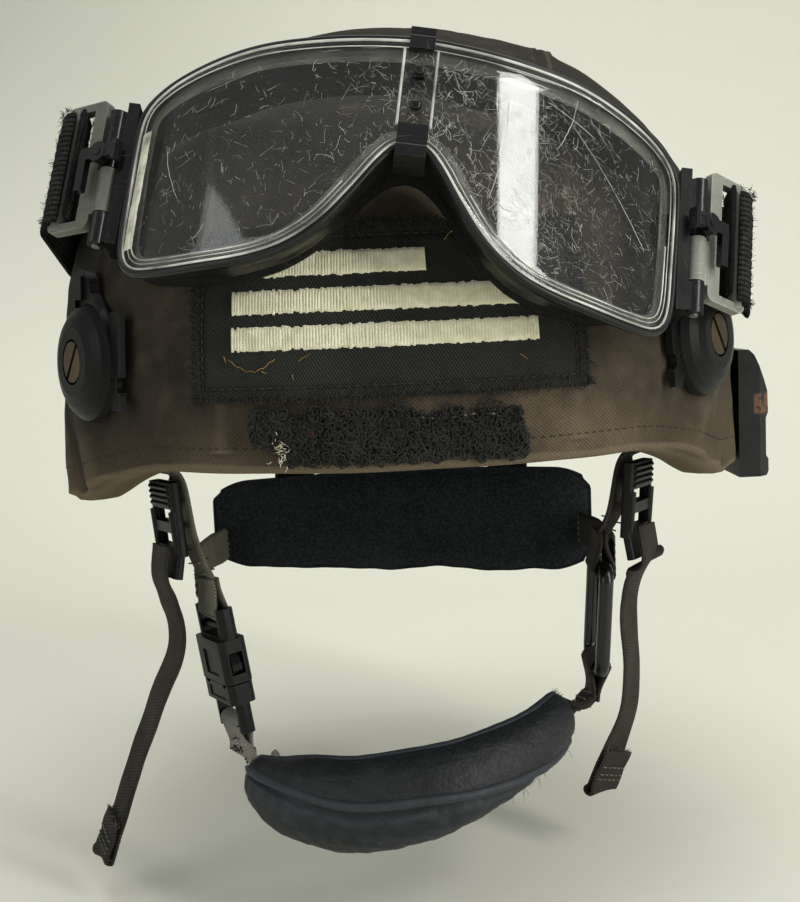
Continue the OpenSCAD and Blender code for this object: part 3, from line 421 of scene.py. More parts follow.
# Pale floor and wall in metres, and soft boxes: size, watts, place, point aimed at, colour
studio = {
    "floor": -0.1605, "reach": 3.0, "bend": 0.55, "rise": 2.2, "world": 0.38,
    "lamps": {
        "stripBox": ((0.24, 1.3), 11.0, (0.90, -0.76, 0.42), (0, -0.05, 0.0), (1.0, 0.99, 0.96)),
        "fillBox": ((0.9, 1.1), 4.5, (-1.15, -0.75, 0.55), (0, 0, 0.02), (0.97, 0.99, 1.0)),
        "topBox": ((1.2, 1.2), 9.0, (0.1, 0.05, 1.35), (0, 0, 0), (1.0, 1.0, 0.98)),
        "rearBox": ((1.2, 0.8), 4.0, (0.2, 1.5, 0.7), (0, 0, 0), (1.0, 1.0, 1.0)),
    },
}


def lamp(name, size, watts, place, toward, colour):
    data = bpy.data.lights.new(name, "AREA")
    data.shape = "RECTANGLE"
    data.size, data.size_y = size
    data.energy = watts
    data.color = colour
    made = bpy.data.objects.new(name, data)
    scene.collection.objects.link(made)
    made.location = place
    made.rotation_euler = (Vector(toward) - Vector(place)).to_track_quat("-Z", "Y").to_euler()


for name, settings in studio["lamps"].items():
    lamp(name, *settings)

world = bpy.data.worlds.new("studio")
scene.world = world
world.use_nodes = True
world.node_tree.nodes["Background"].inputs["Color"].default_value = (0.93, 0.94, 0.90, 1)
world.node_tree.nodes["Background"].inputs["Strength"].default_value = studio["world"]


def sweep():
    # Floor that curves up into a back wall
    cloth = Cloth()
    profile = [(-2.2, 0.0), (0.4, 0.0)]
    for k in range(1, 13):
        a = math.radians(7.5 * k)
        profile.append((0.4 + studio["bend"] * math.sin(a), studio["bend"] * (1 - math.cos(a))))
    profile.append((profile[-1][0], studio["rise"]))
    reach, low = studio["reach"], studio["floor"]
    cloth.grid([[(x / mm, y / mm, (z + low) / mm) for x in (-reach, -1, 0, 1, reach)] for y, z in profile])
    paper = Finish("studioPaper", Roughness=0.9, Specular_IOR_Level=0.2)
    where = paper.place()
    x, _, z = paper.axes(where)
    # painted shade: the paper is coloured darker up the wall and darker still toward its upper left, where
    # the light falls off
    tone = paper.spots(1.3, 2.0, where=where) * 0.06 + (z * 0.26).kept() + (x * -1.3).kept() * z.kept()
    paper.coloured(tone, (0.0, rgb(236, 236, 224)), (0.35, rgb(196, 197, 186)), (1.0, rgb(186, 187, 176)))
    cloth.build("studioSweep", paper, body=None)


sweep()
print("studio ready")


def weave(finish, pitch):
    # Height of a twill: raised diagonal ribs broken into single threads
    x, y, _ = finish.axes(finish.place("UV"))
    turn = 2 * math.pi / pitch
    rib = (x * turn + y * turn).sine()
    thread = ((x * turn * 2) - (y * turn * 0.7)).sine()
    return rib * 0.35 + thread * 0.2 + 0.5


def canvasFinish():
    # Worn brown cover cloth: redder at one side, ochre toward the hem, faded on folds, with painted shade on
    # its flanks and in its hollows
    made = Finish("coverCanvas", Roughness=0.93, Specular_IOR_Level=0.15)
    where = made.place()
    x, _, z = made.axes(where)
    threads = weave(made, 1.25)
    cloud = made.spots(22, 4, 0.6, where)
    speck = made.spots(900, 2, 0.7, where)
    dirt = made.spots(75, 5, 0.65, where)
    tone = made.ramp(cloud * 0.75 + dirt * 0.25 + (0.06 - z) * 0.9,
                     (0.25, rgb(30, 27, 24)), (0.43, rgb(48, 42, 36)), (0.6, rgb(72, 63, 53)),
                     (0.8, rgb(102, 90, 73)))
    # reddish side, ochre hem, dusk over the crown, painted shade on both flanks, deeper painted shade on the
    # left flank, painted shade in the hollows
    for mask, colour in (((x * -6 - 0.15).kept() * 0.22, rgb(70, 55, 48)),
                         ((z * -30 + 0.55).kept() * 0.5, rgb(106, 93, 70)),
                         ((z * 12 - 0.45).kept() * 0.7, rgb(43, 42, 38)),
                         ((abs(x) * 13 - 0.85).kept() * 0.6, rgb(38, 36, 32)),
                         ((x * -15 - 0.7).kept() * (z * 40 + 0.35).kept() * 0.8, rgb(25, 25, 23)),
                         ((1 - made.crests(0.474, 0.497)) * 0.65, rgb(20, 18, 16))):
        tone = made.blend(mask, tone, colour)
    grey = made.ramp(threads * 0.6 + speck * 0.5, (0.2, 0.25), (0.5, 0.5), (0.8, 0.85))
    tone = made.blend(0.55, tone, grey, "OVERLAY")
    made.put("Base Color", made.blend(made.crests(0.503, 0.53) * 0.5, tone, rgb(122, 108, 89)))
    made.raised(threads, 0.00022, 0.8)
    made.raised(made.spots(420, 4, 0.6, where), 0.0006, 0.5)
    return made


def twillFinish():
    # Black badge cloth with steep diagonal ribs, dusty in places
    made = Finish("patchTwill", Roughness=0.85, Specular_IOR_Level=0.25)
    x, y, _ = made.axes(made.place("UV"))
    where = made.place()
    wander = made.spots(45, 3, 0.5, where) * 0.9
    turn = 2 * math.pi / 0.95
    rib = ((x + y * 0.62) * turn + wander * 3).sine() * 0.5 + 0.5
    thread = ((x * 0.4 - y) * (turn * 1.9)).sine() * 0.5 + 0.5
    height = rib * 0.75 + thread * 0.25
    made.coloured(height * 0.55 + made.spots(30, 5, 0.65, where) * 0.45,
                  (0.25, rgb(20, 21, 20)), (0.5, rgb(34, 36, 33)), (0.68, rgb(52, 53, 48)),
                  (0.85, rgb(74, 72, 66)))
    made.raised(height, 0.0005, 0.9)
    made.raised(made.spots(1300, 3, 0.6, where), 0.0003, 0.4)
    return made


def threadFinish(name, dark, pale, rough=0.7):
    # Sewing or satin thread: fine twist along it, tone drifting from stitch to stitch
    made = Finish(name, Roughness=rough)
    made.coloured(made.spots(260, 3, 0.6), (0.3, dark), (0.7, pale))
    x, y, _ = made.axes(made.place("UV"))
    made.raised(((x + y * 1.1) * 9).sine(), 0.00012, 0.6)
    return made


def webbingFinish(name, dark, pale, fade):
    # Woven strap: blocks of thread set like bricks, selvage ribs, dust and fading
    made = Finish(name, Roughness=0.82, Specular_IOR_Level=0.2)
    x, y, _ = made.axes(made.place("UV"))
    where = made.place()
    across = (x * (2 * math.pi / 2.1)).sine()
    along = (y * (2 * math.pi / 1.25) + across.above(0, 0.15) * math.pi).sine()
    height = along * 0.3 + abs(across) * 0.35 + 0.35
    dust = made.spots(60, 5, 0.65, where)
    grey = made.spots(14, 3, 0.5, where)
    base = made.ramp(height * 0.4 + dust * 0.6, (0.28, dark), (0.55, pale), (0.85, fade))
    made.put("Base Color", made.blend((grey - 0.42).kept() * 1.2, base, fade))
    made.raised(height, 0.0004, 0.85)
    made.raised(made.spots(1500, 3, 0.6, where), 0.0003, 0.45)
    return made


def elasticFinish():
    # Ribs along the strap, a fine cross thread between them
    made = Finish("strapElastic", Roughness=0.92, Specular_IOR_Level=0.1)
    x, y, _ = made.axes(made.place("UV"))
    where = made.place()
    ribs = abs((x * (math.pi / 1.7)).sine())
    cross = (y * (2 * math.pi / 0.8)).sine() * 0.5 + 0.5
    height = ribs * 0.8 + cross * 0.2
    made.coloured(height * 0.45 + made.spots(160, 5, 0.7, where) * 0.55,
                  (0.25, rgb(15, 15, 16)), (0.55, rgb(34, 34, 34)), (0.74, rgb(56, 55, 53)),
                  (0.92, rgb(92, 88, 84)))
    made.raised(height, 0.0006, 0.9)
    made.raised(made.spots(1400, 2, 0.6, where), 0.0003, 0.5)
    return made


def mouldedFinish(name, dark, pale, rough=0.42, grain=0.35, scuff=0.35, shine=0.28, wear=0.8):
    # Moulded plastic or painted metal: fine grain, scratches both ways, rubbed edges
    made = Finish(name, Specular_IOR_Level=shine)
    where = made.place()
    skin = made.spots(700, 3, 0.6, where)
    smear = made.spots(38, 5, 0.65, where)
    long = made.spots(1, 3, 0.5, made.stretched(where, (60, 260, 1700))).above(0.66, 0.05)
    wide = made.spots(1, 3, 0.5, made.stretched(where, (1700, 300, 90))).above(0.67, 0.05)
    scratch = long.most(wide)
    mask = (made.edges(0.7, 6.0) * smear * wear + scratch * scuff * 0.4).kept()
    base = made.ramp(smear * 0.7 + skin * 0.3, (0.3, dark), (0.75, pale))
    made.put("Base Color", made.blend(mask, base, lighter(pale, 2.2, 0.02)))
    made.put("Roughness", (smear * 0.3 + scratch * 0.2 + rough - 0.12).kept())
    made.raised(skin, 0.00012, grain)
    made.raised(scratch, 0.00008, 0.4)
    return made


def metalFinish(name, dark, pale, rough):
    # Bare metal with turned marks and rubbed edges
    made = Finish(name, Metallic=0.9)
    where = made.place()
    smear = made.spots(120, 5, 0.65, where)
    marks = made.spots(1, 3, 0.5, made.stretched(where, (400, 400, 2600)))
    base = made.ramp(smear * 0.6 + marks * 0.4, (0.3, dark), (0.7, pale))
    made.put("Base Color", made.blend(made.edges(0.5, 5.0) * 0.6, base, lighter(pale, 1.6, 0.04)))
    made.put("Roughness", smear * 0.35 + (rough - 0.1))
    made.raised(marks, 0.00006, 0.4)
    return made


def lensFinish():
    # Clear hard sheet: reflection by angle, scratches and a haze of fine wear
    made = Finish("clearLens", Metallic=1.0, Base_Color=(0.93, 0.95, 0.93))
    where = made.place()
    facing = made.node("ShaderNodeLayerWeight", None, {"Blend": 0.5}, out=1)
    squared = facing * facing
    lines = [made.spots(1, 4, 0.55, made.stretched(where, sizes)).above(edge, 0.03)
             for sizes, edge in (((900, 60, 110), 0.705), ((120, 60, 1500), 0.715), ((700, 500, -640), 0.73))]
    scratches = lines[0].most(lines[1]).most(lines[2])
    dots = (0.09 - made.cells(620, where)).above(0, 0.03)
    haze = made.spots(34, 4, 0.6, where)
    grazing = squared * squared * facing * 0.6
    made.put("Alpha", (grazing + haze * 0.02 + scratches * 0.2 + dots * 0.12 + 0.034).kept())
    made.put("Roughness", (scratches * 0.4 + dots * 0.3 + haze * 0.05 + 0.02).kept())
    made.material.surface_render_method = "BLENDED"
    return made


def leatherFinish(name, dark, mid, pale, cell=420):
    # Grained leather: pebbles, creases and rubbed high places
    made = Finish(name, Specular_IOR_Level=0.32)
    where = made.place()
    pebbles = made.cells(cell, where, "SMOOTH_F1")
    crease = made.spots(55, 5, 0.6, where, bend=0.6)
    cloud = made.spots(18, 4, 0.6, where)
    base = made.ramp(cloud * 0.6 + crease * 0.4, (0.3, dark), (0.52, mid), (0.75, pale))
    made.put("Base Color", made.blend(made.crests(0.503, 0.54) * 0.55, base, pale))
    made.put("Roughness", (cloud * 0.3 + pebbles * 0.25 + 0.3).kept())
    made.raised(pebbles, 0.00035, 0.55)
    made.raised(crease, 0.0018, 0.6)
    return made


def foamFinish(name, dark, pale, cell):
    # Foam or brushed cloth: small pores over a soft cloud
    made = Finish(name, Roughness=0.95, Specular_IOR_Level=0.15)
    where = made.place()
    pores = made.cells(cell, where)
    made.coloured(pores * 0.7 + made.spots(40, 4, 0.6, where) * 0.5, (0.2, dark), (0.8, pale))
    made.raised(pores, 0.0006, 0.8)
    return made


def laminateFinish():
    # Inside and rim of the shell: matt green-grey paint over pressed cloth
    made = Finish("shellLaminate", Roughness=0.7)
    where = made.place()
    x, _, z = made.axes(where)
    cloth = ((x * 1400).sine() * (z * 1400).sine()) * 0.5 + 0.5
    made.coloured(made.spots(25, 5, 0.6, where) * 0.7 + cloth * 0.3,
                  (0.25, rgb(58, 60, 48)), (0.7, rgb(92, 94, 76)))
    made.raised(cloth, 0.0003, 0.4)
    made.raised(made.spots(600, 3, 0.6, where), 0.0002, 0.4)
    return made


def cloudyFinish(name, rough, spots, stops, clear=None):
    # One cloud of noise for the colour, and for Alpha as well where clear gives its slope and start
    made = Finish(name, Roughness=rough)
    tone = made.spots(*spots)
    made.coloured(tone, *stops)
    if clear:
        made.put("Alpha", (tone * clear[0] + clear[1]).kept())
    return made


def bracketFinish():
    # Black paint with a rusty rub on the bracket's outer face, as tall and long as its bar
    made = mouldedFinish("bracketPaint", rgb(12, 14, 14), rgb(32, 35, 35), 0.4, 0.5, 0.5)
    x, y, z = made.axes(made.place())
    rubbed = (x - 0.1305).above(0, 0.0006) * (0.0042 - abs(z - 0.0065)).above(0, 0.0012)
    rubbed = rubbed * (-0.024 - y).above(0, 0.003)
    ragged = made.spots(420, 4, 0.7).above(0.42, 0.08)
    paint = made.ramp(made.spots(60, 5, 0.65), (0.3, rgb(12, 14, 14)), (0.75, rgb(34, 37, 37)))
    made.put("Base Color", made.blend(rubbed * ragged, paint, rgb(104, 72, 54)))
    return made


canvas = canvasFinish()
twill = twillFinish()
creamThread = threadFinish("creamThread", rgb(224, 219, 186), rgb(253, 250, 224))
goldThread = threadFinish("goldThread", rgb(120, 88, 40), rgb(196, 158, 92))
tanThread = threadFinish("tanThread", rgb(96, 86, 66), rgb(158, 144, 112))
darkThread = threadFinish("darkThread", rgb(24, 24, 22), rgb(58, 55, 48), 0.85)
pileThread = threadFinish("pileThread", rgb(13, 13, 12), rgb(44, 44, 38), 0.9)
redThread = threadFinish("redThread", rgb(96, 22, 22), rgb(150, 44, 40), 0.8)
greyThread = threadFinish("greyThread", rgb(70, 70, 66), rgb(120, 118, 110), 0.85)
brownWeb = webbingFinish("brownWebbing", rgb(22, 20, 18), rgb(44, 41, 36), rgb(76, 70, 60))
oliveWeb = webbingFinish("oliveWebbing", rgb(62, 62, 52), rgb(100, 100, 86), rgb(142, 140, 124))
greyWeb = webbingFinish("greyWebbing", rgb(84, 84, 80), rgb(122, 121, 114), rgb(160, 158, 148))
elastic = elasticFinish()
blackNylon = mouldedFinish("blackNylon", rgb(8, 9, 9), rgb(21, 22, 21), 0.4, shine=0.2)
shinyNylon = mouldedFinish("shinyNylon", rgb(5, 6, 6), rgb(17, 19, 19), 0.24, 0.15, 0.5, 0.4)
greyNylon = mouldedFinish("greyNylon", rgb(84, 86, 78), rgb(122, 124, 115), 0.5, 0.5, 0.5)
paleNylon = mouldedFinish("paleNylon", rgb(112, 114, 106), rgb(150, 152, 143), 0.45, 0.4, 0.6)
frameRubber = mouldedFinish("frameRubber", rgb(7, 8, 8), rgb(22, 24, 23), 0.34, 0.2, 0.3, 0.35, 0.3)
blackPaint = mouldedFinish("blackPaint", rgb(6, 7, 7), rgb(18, 20, 19), 0.42, 0.6, 0.5, 0.15)
trimRubber = mouldedFinish("trimRubber", rgb(12, 12, 13), rgb(28, 28, 28), 0.55, 0.4, 0.3)
bracketPaint = bracketFinish()
bronze = metalFinish("wornBronze", rgb(46, 38, 30), rgb(112, 92, 66), 0.38)
zinc = metalFinish("zincSteel", rgb(110, 110, 108), rgb(170, 170, 166), 0.34)
lensSheet = lensFinish()
# painted highlight: near-white colour standing in for light caught in the lens's edge, its beads and the
# bridge lines
paintedEdgeHighlight = cloudyFinish("lensEdge", 0.12, (48, 4, 0.6), (
    (0.3, rgb(96, 99, 95)), (0.5, rgb(176, 179, 172)), (0.7, rgb(236, 238, 231))))
marginFinish = cloudyFinish("lensMargin", 0.45, (60, 5, 0.65), (
    (0.3, rgb(96, 95, 88)), (0.7, rgb(150, 149, 139))), (0.5, 0.12))
endFinish = cloudyFinish("lensEnd", 0.3, (150, 4, 0.65), (
    (0.3, rgb(168, 167, 150)), (0.5, rgb(218, 216, 196)), (0.7, rgb(236, 234, 216))), (1.5, 0.1))
scratchFinish = cloudyFinish("lensScratch", 0.3, (90, 3, 0.6), (
    (0.35, rgb(170, 172, 164)), (0.65, rgb(240, 241, 234))), (1.3, -0.1))
cupLeather = leatherFinish("cupLeather", rgb(16, 19, 22), rgb(29, 34, 38), rgb(56, 62, 67))
cupLining = leatherFinish("cupLining", rgb(12, 13, 14), rgb(26, 28, 30), rgb(52, 55, 58), 900)
napeCloth = foamFinish("napeCloth", rgb(9, 12, 14), rgb(42, 46, 49), 800)
padCloth = foamFinish("padCloth", rgb(22, 22, 22), rgb(52, 52, 51), 1300)
linerFoam = foamFinish("linerFoam", rgb(30, 31, 32), rgb(58, 59, 60), 700)
faceFoam = foamFinish("faceFoam", rgb(8, 8, 8), rgb(26, 26, 25), 1000)
laminate = laminateFinish()
print("finishes made")

# Solids that stay as the frame has them, with the finish of each
keptSolids = {
    laminate: ("shell",), trimRubber: ("edge_trim",), linerFoam: ("impact_liner",),
    zinc: ("harness_bolts", "goggle_pins", "visor_nuts", "accessory_screws"),
    shinyNylon: ("bridge_clip", "nose_clip", "left_side_clip", "right_side_clip", "left_lens_latch",
                 "right_lens_latch", "oval_ring"),
    greyNylon: ("left_strap_bracket",), paleNylon: ("right_strap_bracket",),
    blackNylon: ("strap_slider", "left_ladder_lock", "right_ladder_lock", "buckle_socket",
                 "buckle_plug", "front_prong", "rear_prong"),
    blackPaint: ("left_visor_arm", "right_visor_arm"), bronze: ("left_coin_screw", "right_coin_screw"),
    bracketPaint: ("accessory_bracket",),
}
rounding = {"width": 0.35, "segments": 2, "above": 35,
            "without": ("shell", "edge_trim", "impact_liner", "oval_ring", "goggle_pins")}


def dress(name, finish):
    # Finish on a kept solid, and a fine rounding of its edges where it isn't smooth already
    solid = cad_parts[name]
    solid.data.materials.clear()
    solid.data.materials.append(finish.material)
    if name not in rounding["without"]:
        soft = solid.modifiers.new("rounding", "BEVEL")
        soft.width = rounding["width"] * mm
        soft.segments = rounding["segments"]
        soft.limit_method = "ANGLE"
        soft.angle_limit = math.radians(rounding["above"])
        soft.harden_normals = True


for finish, names in keptSolids.items():
    for name in names:
        dress(name, finish)
print("solids dressed")


# Canvas cover: drawn over the shell, folded at the brow and temples, turned in under the rim
coverCut = {
    "columns": 360, "rows": 120, "wrinkle": 1.25, "crease": 2.0, "seam": 52, "below": 3.0,
    "flat": (0.43, 0.47), "area": 0.155,
    # fold: place round, lean, width, height up the dome, strength
    "folds": ((-52, -40, 7, 0.5, 1), (47, 50, 8, 0.55, 1), (-66, 0, 6, 0.3, 0.8), (72, 0, 9, 0.35, 0.7)),
    # turned hem: depth inside the shell's face, drop under the edge, rise of its crumples
    "hem": ((11.2, 2.1, 0), (9.5, 2.9, 0), (5.0, 3.2, 0.2), (0.5, 3.1, 0.25), (-2.2, 2.5, 0.4),
            (-3.3, 1.2, 0.45)),
}


def lowEdge(u):
    return brim(u) + coverCut["below"]


def coverFolds(u, t):
    # The cover's main folds, as its solid has them
    n = (u + 180) % 360 - 180
    made = sum(strength * bump((n - at - lean * t) / wide) * bump(t / high)
               for at, lean, wide, high, strength in coverCut["folds"])
    return helmet["fold"] * (made + 0.6 * bump((abs(n) - 150) / 12) * bump(t / 0.4))


def seamAt(y):
    # How far from the middle a crown seam runs
    return coverCut["seam"] * (1 - 0.10 * ((y - helmet["middle"]) / 140) ** 2)


def coverLift(u, t):
    # How far the cloth stands off the plain cover here; its pattern is taken a little further in
    p = domeUp(u, t, -helmet["coverOut"], lowEdge(u))
    near, fine = lumps(*(p * 0.045)), lumps(*(p * 0.14 + Vector((7, 1, 3))))
    slack = lumps(u * 0.06, t * 3.0, 2.5)
    pull = math.sin(u * 0.36 + 3 * lumps(u * 0.03, t * 2)) * bump(t / 0.35)
    lift = coverFolds(u, t) * 2.1 + coverCut["wrinkle"] * (0.55 * near + 0.28 * fine)
    lift += 0.55 * coverCut["crease"] * max(0, slack) * bump(t / 0.7) + 0.35 * pull
    if t > 0.03:
        off = abs(p.x) - seamAt(p.y)
        lift += 0.7 * bump((off - 1.5) / 5.5) - 0.5 * bump((off + 0.8) / 1.6)
    # drawn flat on the brow, where the badge and strip press it
    flat = bump((p.x + 2) / 75) * bump((p.z - 40) / 55) if p.y < 0 else 0
    return lift * (1 - 0.75 * flat)


def coverPoint(u, t, more=0.0):
    base = domeUp(u, t, helmet["coverOut"], lowEdge(u))
    outward = domeUp(u, t, helmet["coverOut"] - 1, lowEdge(u)) - base
    return base + outward.normalized() * (max(-0.9, coverLift(u, t)) + more)


def sewn(name, path, outward, thread, step=3.2, length=2.3, radius=0.28, body="helmet", slot="webbing"):
    # Row of stitches along a line, each a short thread that dips in at both ends
    cloth = Cloth()
    line = evenly(path, step)
    for a, b in zip(line, line[1:]):
        up = Vector(outward(a) if callable(outward) else outward).normalized()
        way = (b - a).normalized()
        middle = (a + b) / 2
        reach = min(length, (b - a).length * 0.8) / 2
        arch = [middle + way * (s * reach) + up * (radius * (0.75 - 1.6 * s * s))
                for s in (-1, -0.55, 0, 0.55, 1)]
        cloth.tube(arch, [radius * k for k in (0.6, 0.95, 1, 0.95, 0.6)], 5)
    return cloth.build(name, thread, body=body, slot=slot)


def makeCover():
    cloth = Cloth()
    rows, columns = coverCut["rows"], coverCut["columns"]
    turn = [360 * k / columns - 180 for k in range(columns)]
    grid = [[dome(u, lowEdge(u) - drop + 0.3 * lumps(u * 0.09, 5),
                  inset - rise - 0.4 * abs(lumps(u * 0.05, inset))) for u in turn]
            for inset, drop, rise in coverCut["hem"]]
    grid += [[coverPoint(u, (i / rows) ** 1.12) for u in turn] for i in range(rows)]
    cloth.grid(grid, closedAcross=True)
    cloth.cap((len(grid) - 1) * columns, columns)
    made = cloth.build("coverCanvas", canvas, instead=("cover", "cover_hem"), slot="cover_canvas")


def crownStitchLine(side, gap):
    # Points over the crown beside one seam, on the cloth as it lies
    a, b, c = halves(helmet["coverOut"])
    plan, steep = helmet["plan"], helmet["side"]
    line = []
    for y in steps(-118, 128, 100):
        x, north = side * (seamAt(y) + gap), y - helmet["middle"]
        q = abs(x / a) ** plan + abs(north / b) ** plan
        if q > 0.985:
            continue
        h = (1 - q ** (steep / plan)) ** (1 / steep)
        p = Vector((x, y, helmet["widest"] + c * h))
        up = Vector((x / a ** 2, north / b ** 2, (p.z - helmet["widest"]) / c ** 2)).normalized()
        t = helmet["walls"] + (1 - helmet["walls"]) * (2 / math.pi) * math.asin(min(1, h ** (steep / 2)))
        u = math.degrees(math.atan2(power(x / a, plan / 2), -power(north / b, plan / 2)))
        line.append(p + up * (max(-0.9, coverLift(u, t)) + 0.05))
    return line


def coverSeams():
    # Twin rows of stitching beside each crown seam, and one round the hem
    middle = Vector((0, helmet["middle"], 30))
    for k, (side, gap) in enumerate(((-1, 1.6), (-1, 6.2), (1, 1.6), (1, 6.2))):
        sewn(f"crownStitch{k}", crownStitchLine(side, gap), lambda p: p - middle, darkThread, 3.4, 2.4, 0.3,
             slot="cover_canvas")
    hem = [coverPoint(u, 0.045, 0.02) for u in range(-180, 181)]
    sewn("hemStitch", hem, lambda p: Vector((p.x, p.y, 0)), darkThread, 3.0, 2.1, 0.2, slot="cover_canvas")


makeCover()
coverSeams()
print("cover sewn")


# Badge panel: a sewn cloth patch with plain raised bars, each from low, height, left and right
badge = {"wide": 118, "high": 50, "low": 22, "shift": -2, "thick": 1.4, "off": 3.7, "seam": 3.6,
         "columns": 236, "rows": 100, "frays": 1500, "flat": (0.119, 0.051),
         "bars": ((14.5, 6.8, -46, 44), (25.0, 6.8, -46, 44), (35.5, 6.8, -46, 12)),
         "snippets": ((-48.5, 13.2, 0.5, -0.8, 2.0), (-37, 8.6, 0.8, -0.5, 1.8), (-26, 11.2, 0.6, 0.75, 4.2),
                      (-28, 7.4, 0.2, -0.9, 1.6), (40, 9, -0.6, 0.5, 2.6), (18, 44, 0.5, 0.6, 4.0))}


def badgePoint(x, z, up):
    d = -(badge["off"] + up)
    return dome(azimuthAt(x + badge["shift"], d), z + badge["low"], d)


def fibre(cloth, start, way, out, length, radius, rng, curl=0.9, parts=6, sides=3):
    # One loose thread that wanders as it goes
    p, d = Vector(start), Vector(way).normalized()
    line = [p.copy()]
    for k in range(parts):
        d = (d + curl * scatter(rng) * 0.5 + Vector(out) * 0.06).normalized()
        p = p + d * (length / parts)
        line.append(p.copy())
    cloth.tube(line, [radius * (1 - 0.55 * k / parts) for k in range(parts + 1)], sides)


def under(p):
    # A little way in toward the helmet's middle
    return p - Vector((p.x * 0.3, p.y + 20, (p.z - 20) * 0.5)).normalized() * 1.15


def makeBadge():
    half, high, thick = badge["wide"] / 2, badge["high"], badge["thick"]
    columns, rows = badge["columns"], badge["rows"]
    ragged = [lumps(k * 0.33, 8) for k in range(400)]

    def at(i, j):
        # i up the panel, j along it
        x, z = mix(-half, half, j / columns), high * i / rows
        edge = min(j, columns - j, i * 2.2, (rows - i) * 2.2)
        fray = 0.9 * ragged[(i * 3 + j) % 400] if edge < 1 else 0
        inside = min(half - abs(x), z, high - z)
        swell = thick - 0.15 + 0.28 * lumps(x * 0.06, z * 0.07, 1)
        swell -= 0.5 * bump((inside - badge["seam"]) / 1.3)
        swell += 0.25 * bump((inside - 1.6) / 1.8)
        return badgePoint(x + fray * 0.5, z + fray * 0.5, swell)

    cloth = Cloth()
    top = [[at(i, j) for j in range(columns + 1)] for i in range(rows + 1)]
    full = [[under(p) for p in top[0]]] + top + [[under(p) for p in top[-1]]]
    cloth.grid([[under(row[0])] + row + [under(row[-1])] for row in full])
    quarters = [columns * k // 4 for k in range(5)]
    cloth.grid([[under(under(row[k])) * 0.5 + under(row[k]) * 0.5 for k in quarters]
                for row in (top[0], top[rows // 2], top[-1])], flip=True)
    made = cloth.build("badgePanel", twill, instead=("badge_panel",), slot="patch_twill")


def frayBadge():
    # Short threads all round the border, and the line of stitches inside it
    half, high, thick, seam = badge["wide"] / 2, badge["high"], badge["thick"], badge["seam"]
    rng = random.Random(3)
    fray = Cloth()
    for _ in range(badge["frays"]):
        side = rng.random()
        s = rng.uniform(-1, 1)
        inset = abs(rng.gauss(0, 1.5))
        if side < 0.36:
            x, z, way = s * half, inset, (0.3 * rng.uniform(-1, 1), -0.4, -1)
        elif side < 0.72:
            x, z, way = s * half, high - inset, (0.3 * rng.uniform(-1, 1), -0.4, 1)
        else:
            x, z, way = math.copysign(half - inset, s), rng.uniform(0, high), (math.copysign(1, s), -0.3, 0)
        fibre(fray, badgePoint(x, z, thick + 0.05), way, (0, -1, 0), rng.uniform(1.2, 3.6),
              rng.uniform(0.1, 0.19), rng, 1.1, 4)
    fray.build("badgeFray", darkThread, slot="patch_twill")
    corners = [(seam - half, seam), (half - seam, seam),
               (half - seam, high - seam), (seam - half, high - seam)]
    line = [badgePoint(*corners[0], thick - 0.35)]
    for (ax, az), (bx, bz), count in zip(corners, corners[1:] + corners[:1], (60, 24, 60, 24)):
        line += [badgePoint(mix(ax, bx, k / count), mix(az, bz, k / count), thick - 0.35)
                 for k in range(1, count + 1)]
    sewn("badgeStitch", line, (0, -1, 0.25), darkThread, 2.6, 2.0, 0.26, slot="patch_twill")


def satinBar(index, low, high, left, right, pitch=0.9, parts=4, across=12):
    # Plain raised bar in cream satin stitch, each thread laid across the bar
    rng = random.Random(20 + index)
    cloth = Cloth()
    count = int((right - left) / pitch) * parts
    rows = []
    for k in range(count + 1):
        x = left + (right - left) * k / count
        ridge = abs(math.sin(math.pi * k / parts)) ** 0.7
        if k % parts == 0:
            tall, drift, lean = rng.gauss(0, 0.16), rng.gauss(0, 0.09), rng.gauss(0, 0.1)
        row = []
        for s in (i / across for i in range(across + 1)):
            crown = max(0, 1 - (2 * s - 1) ** 4) ** 0.5
            z = low + high * 0.5 + (s - 0.5) * (high + 2 * tall)
            lift = badge["thick"] - 0.1 + crown * (0.6 + 0.42 * ridge)
            row.append(badgePoint(x + drift + lean * (s - 0.5), z, lift))
        rows.append(row)
    cloth.grid(rows, flip=True)
    cloth.cap(0, across + 1)
    cloth.cap(count * (across + 1), across + 1, flip=True)
    cloth.build(f"satinBar{index}", creamThread, slot="patch_twill")


def goldThreads():
    # One long end that droops in an arc, and a few short snippets
    rng = random.Random(31)
    loose = Cloth()
    arc = []
    for k in range(17):
        z = 12.2 - 3.6 * math.sin(math.pi * k / 16) + 0.25 * math.sin(k * 1.9)
        arc.append(badgePoint(mix(-47, -33, k / 16), z, badge["thick"] + 0.3 + 0.2 * math.sin(k * 1.1)))
    loose.tube(arc, 0.11, 5)
    for x, z, across, up, length in badge["snippets"]:
        fibre(loose, badgePoint(x, z, badge["thick"] + 0.2), (across, -0.1, up), (0, -0.3, 0), length, 0.15,
              rng, 0.35, 6, 5)
    loose.build("goldThreads", goldThread, slot="patch_twill")


# Strip of hook-and-loop pile: worn curls over a ragged base, a red fleck and cream lint
pile = {"wide": 78, "low": 4.2, "high": 17.5, "shift": -3, "off": 3.7, "columns": 120, "rows": 24,
        "curls": 1500, "lint": 44, "flecks": 5}


def pilePoint(x, z, up):
    d = -(pile["off"] + up)
    return dome(azimuthAt(x + pile["shift"], d), z, d)


def pileEdge(x, upper):
    # The strip's ragged lower and upper edges; the lower one rises at its left end
    side = 2 if upper else 1
    away = 2.0 * lumps(x * 0.13, side * 9) + 0.9 * lumps(x * 0.45, side * 5, 2)
    return pile["high"] + away if upper else pile["low"] + (away + 6.5 * ease((-28 - x) / 10))


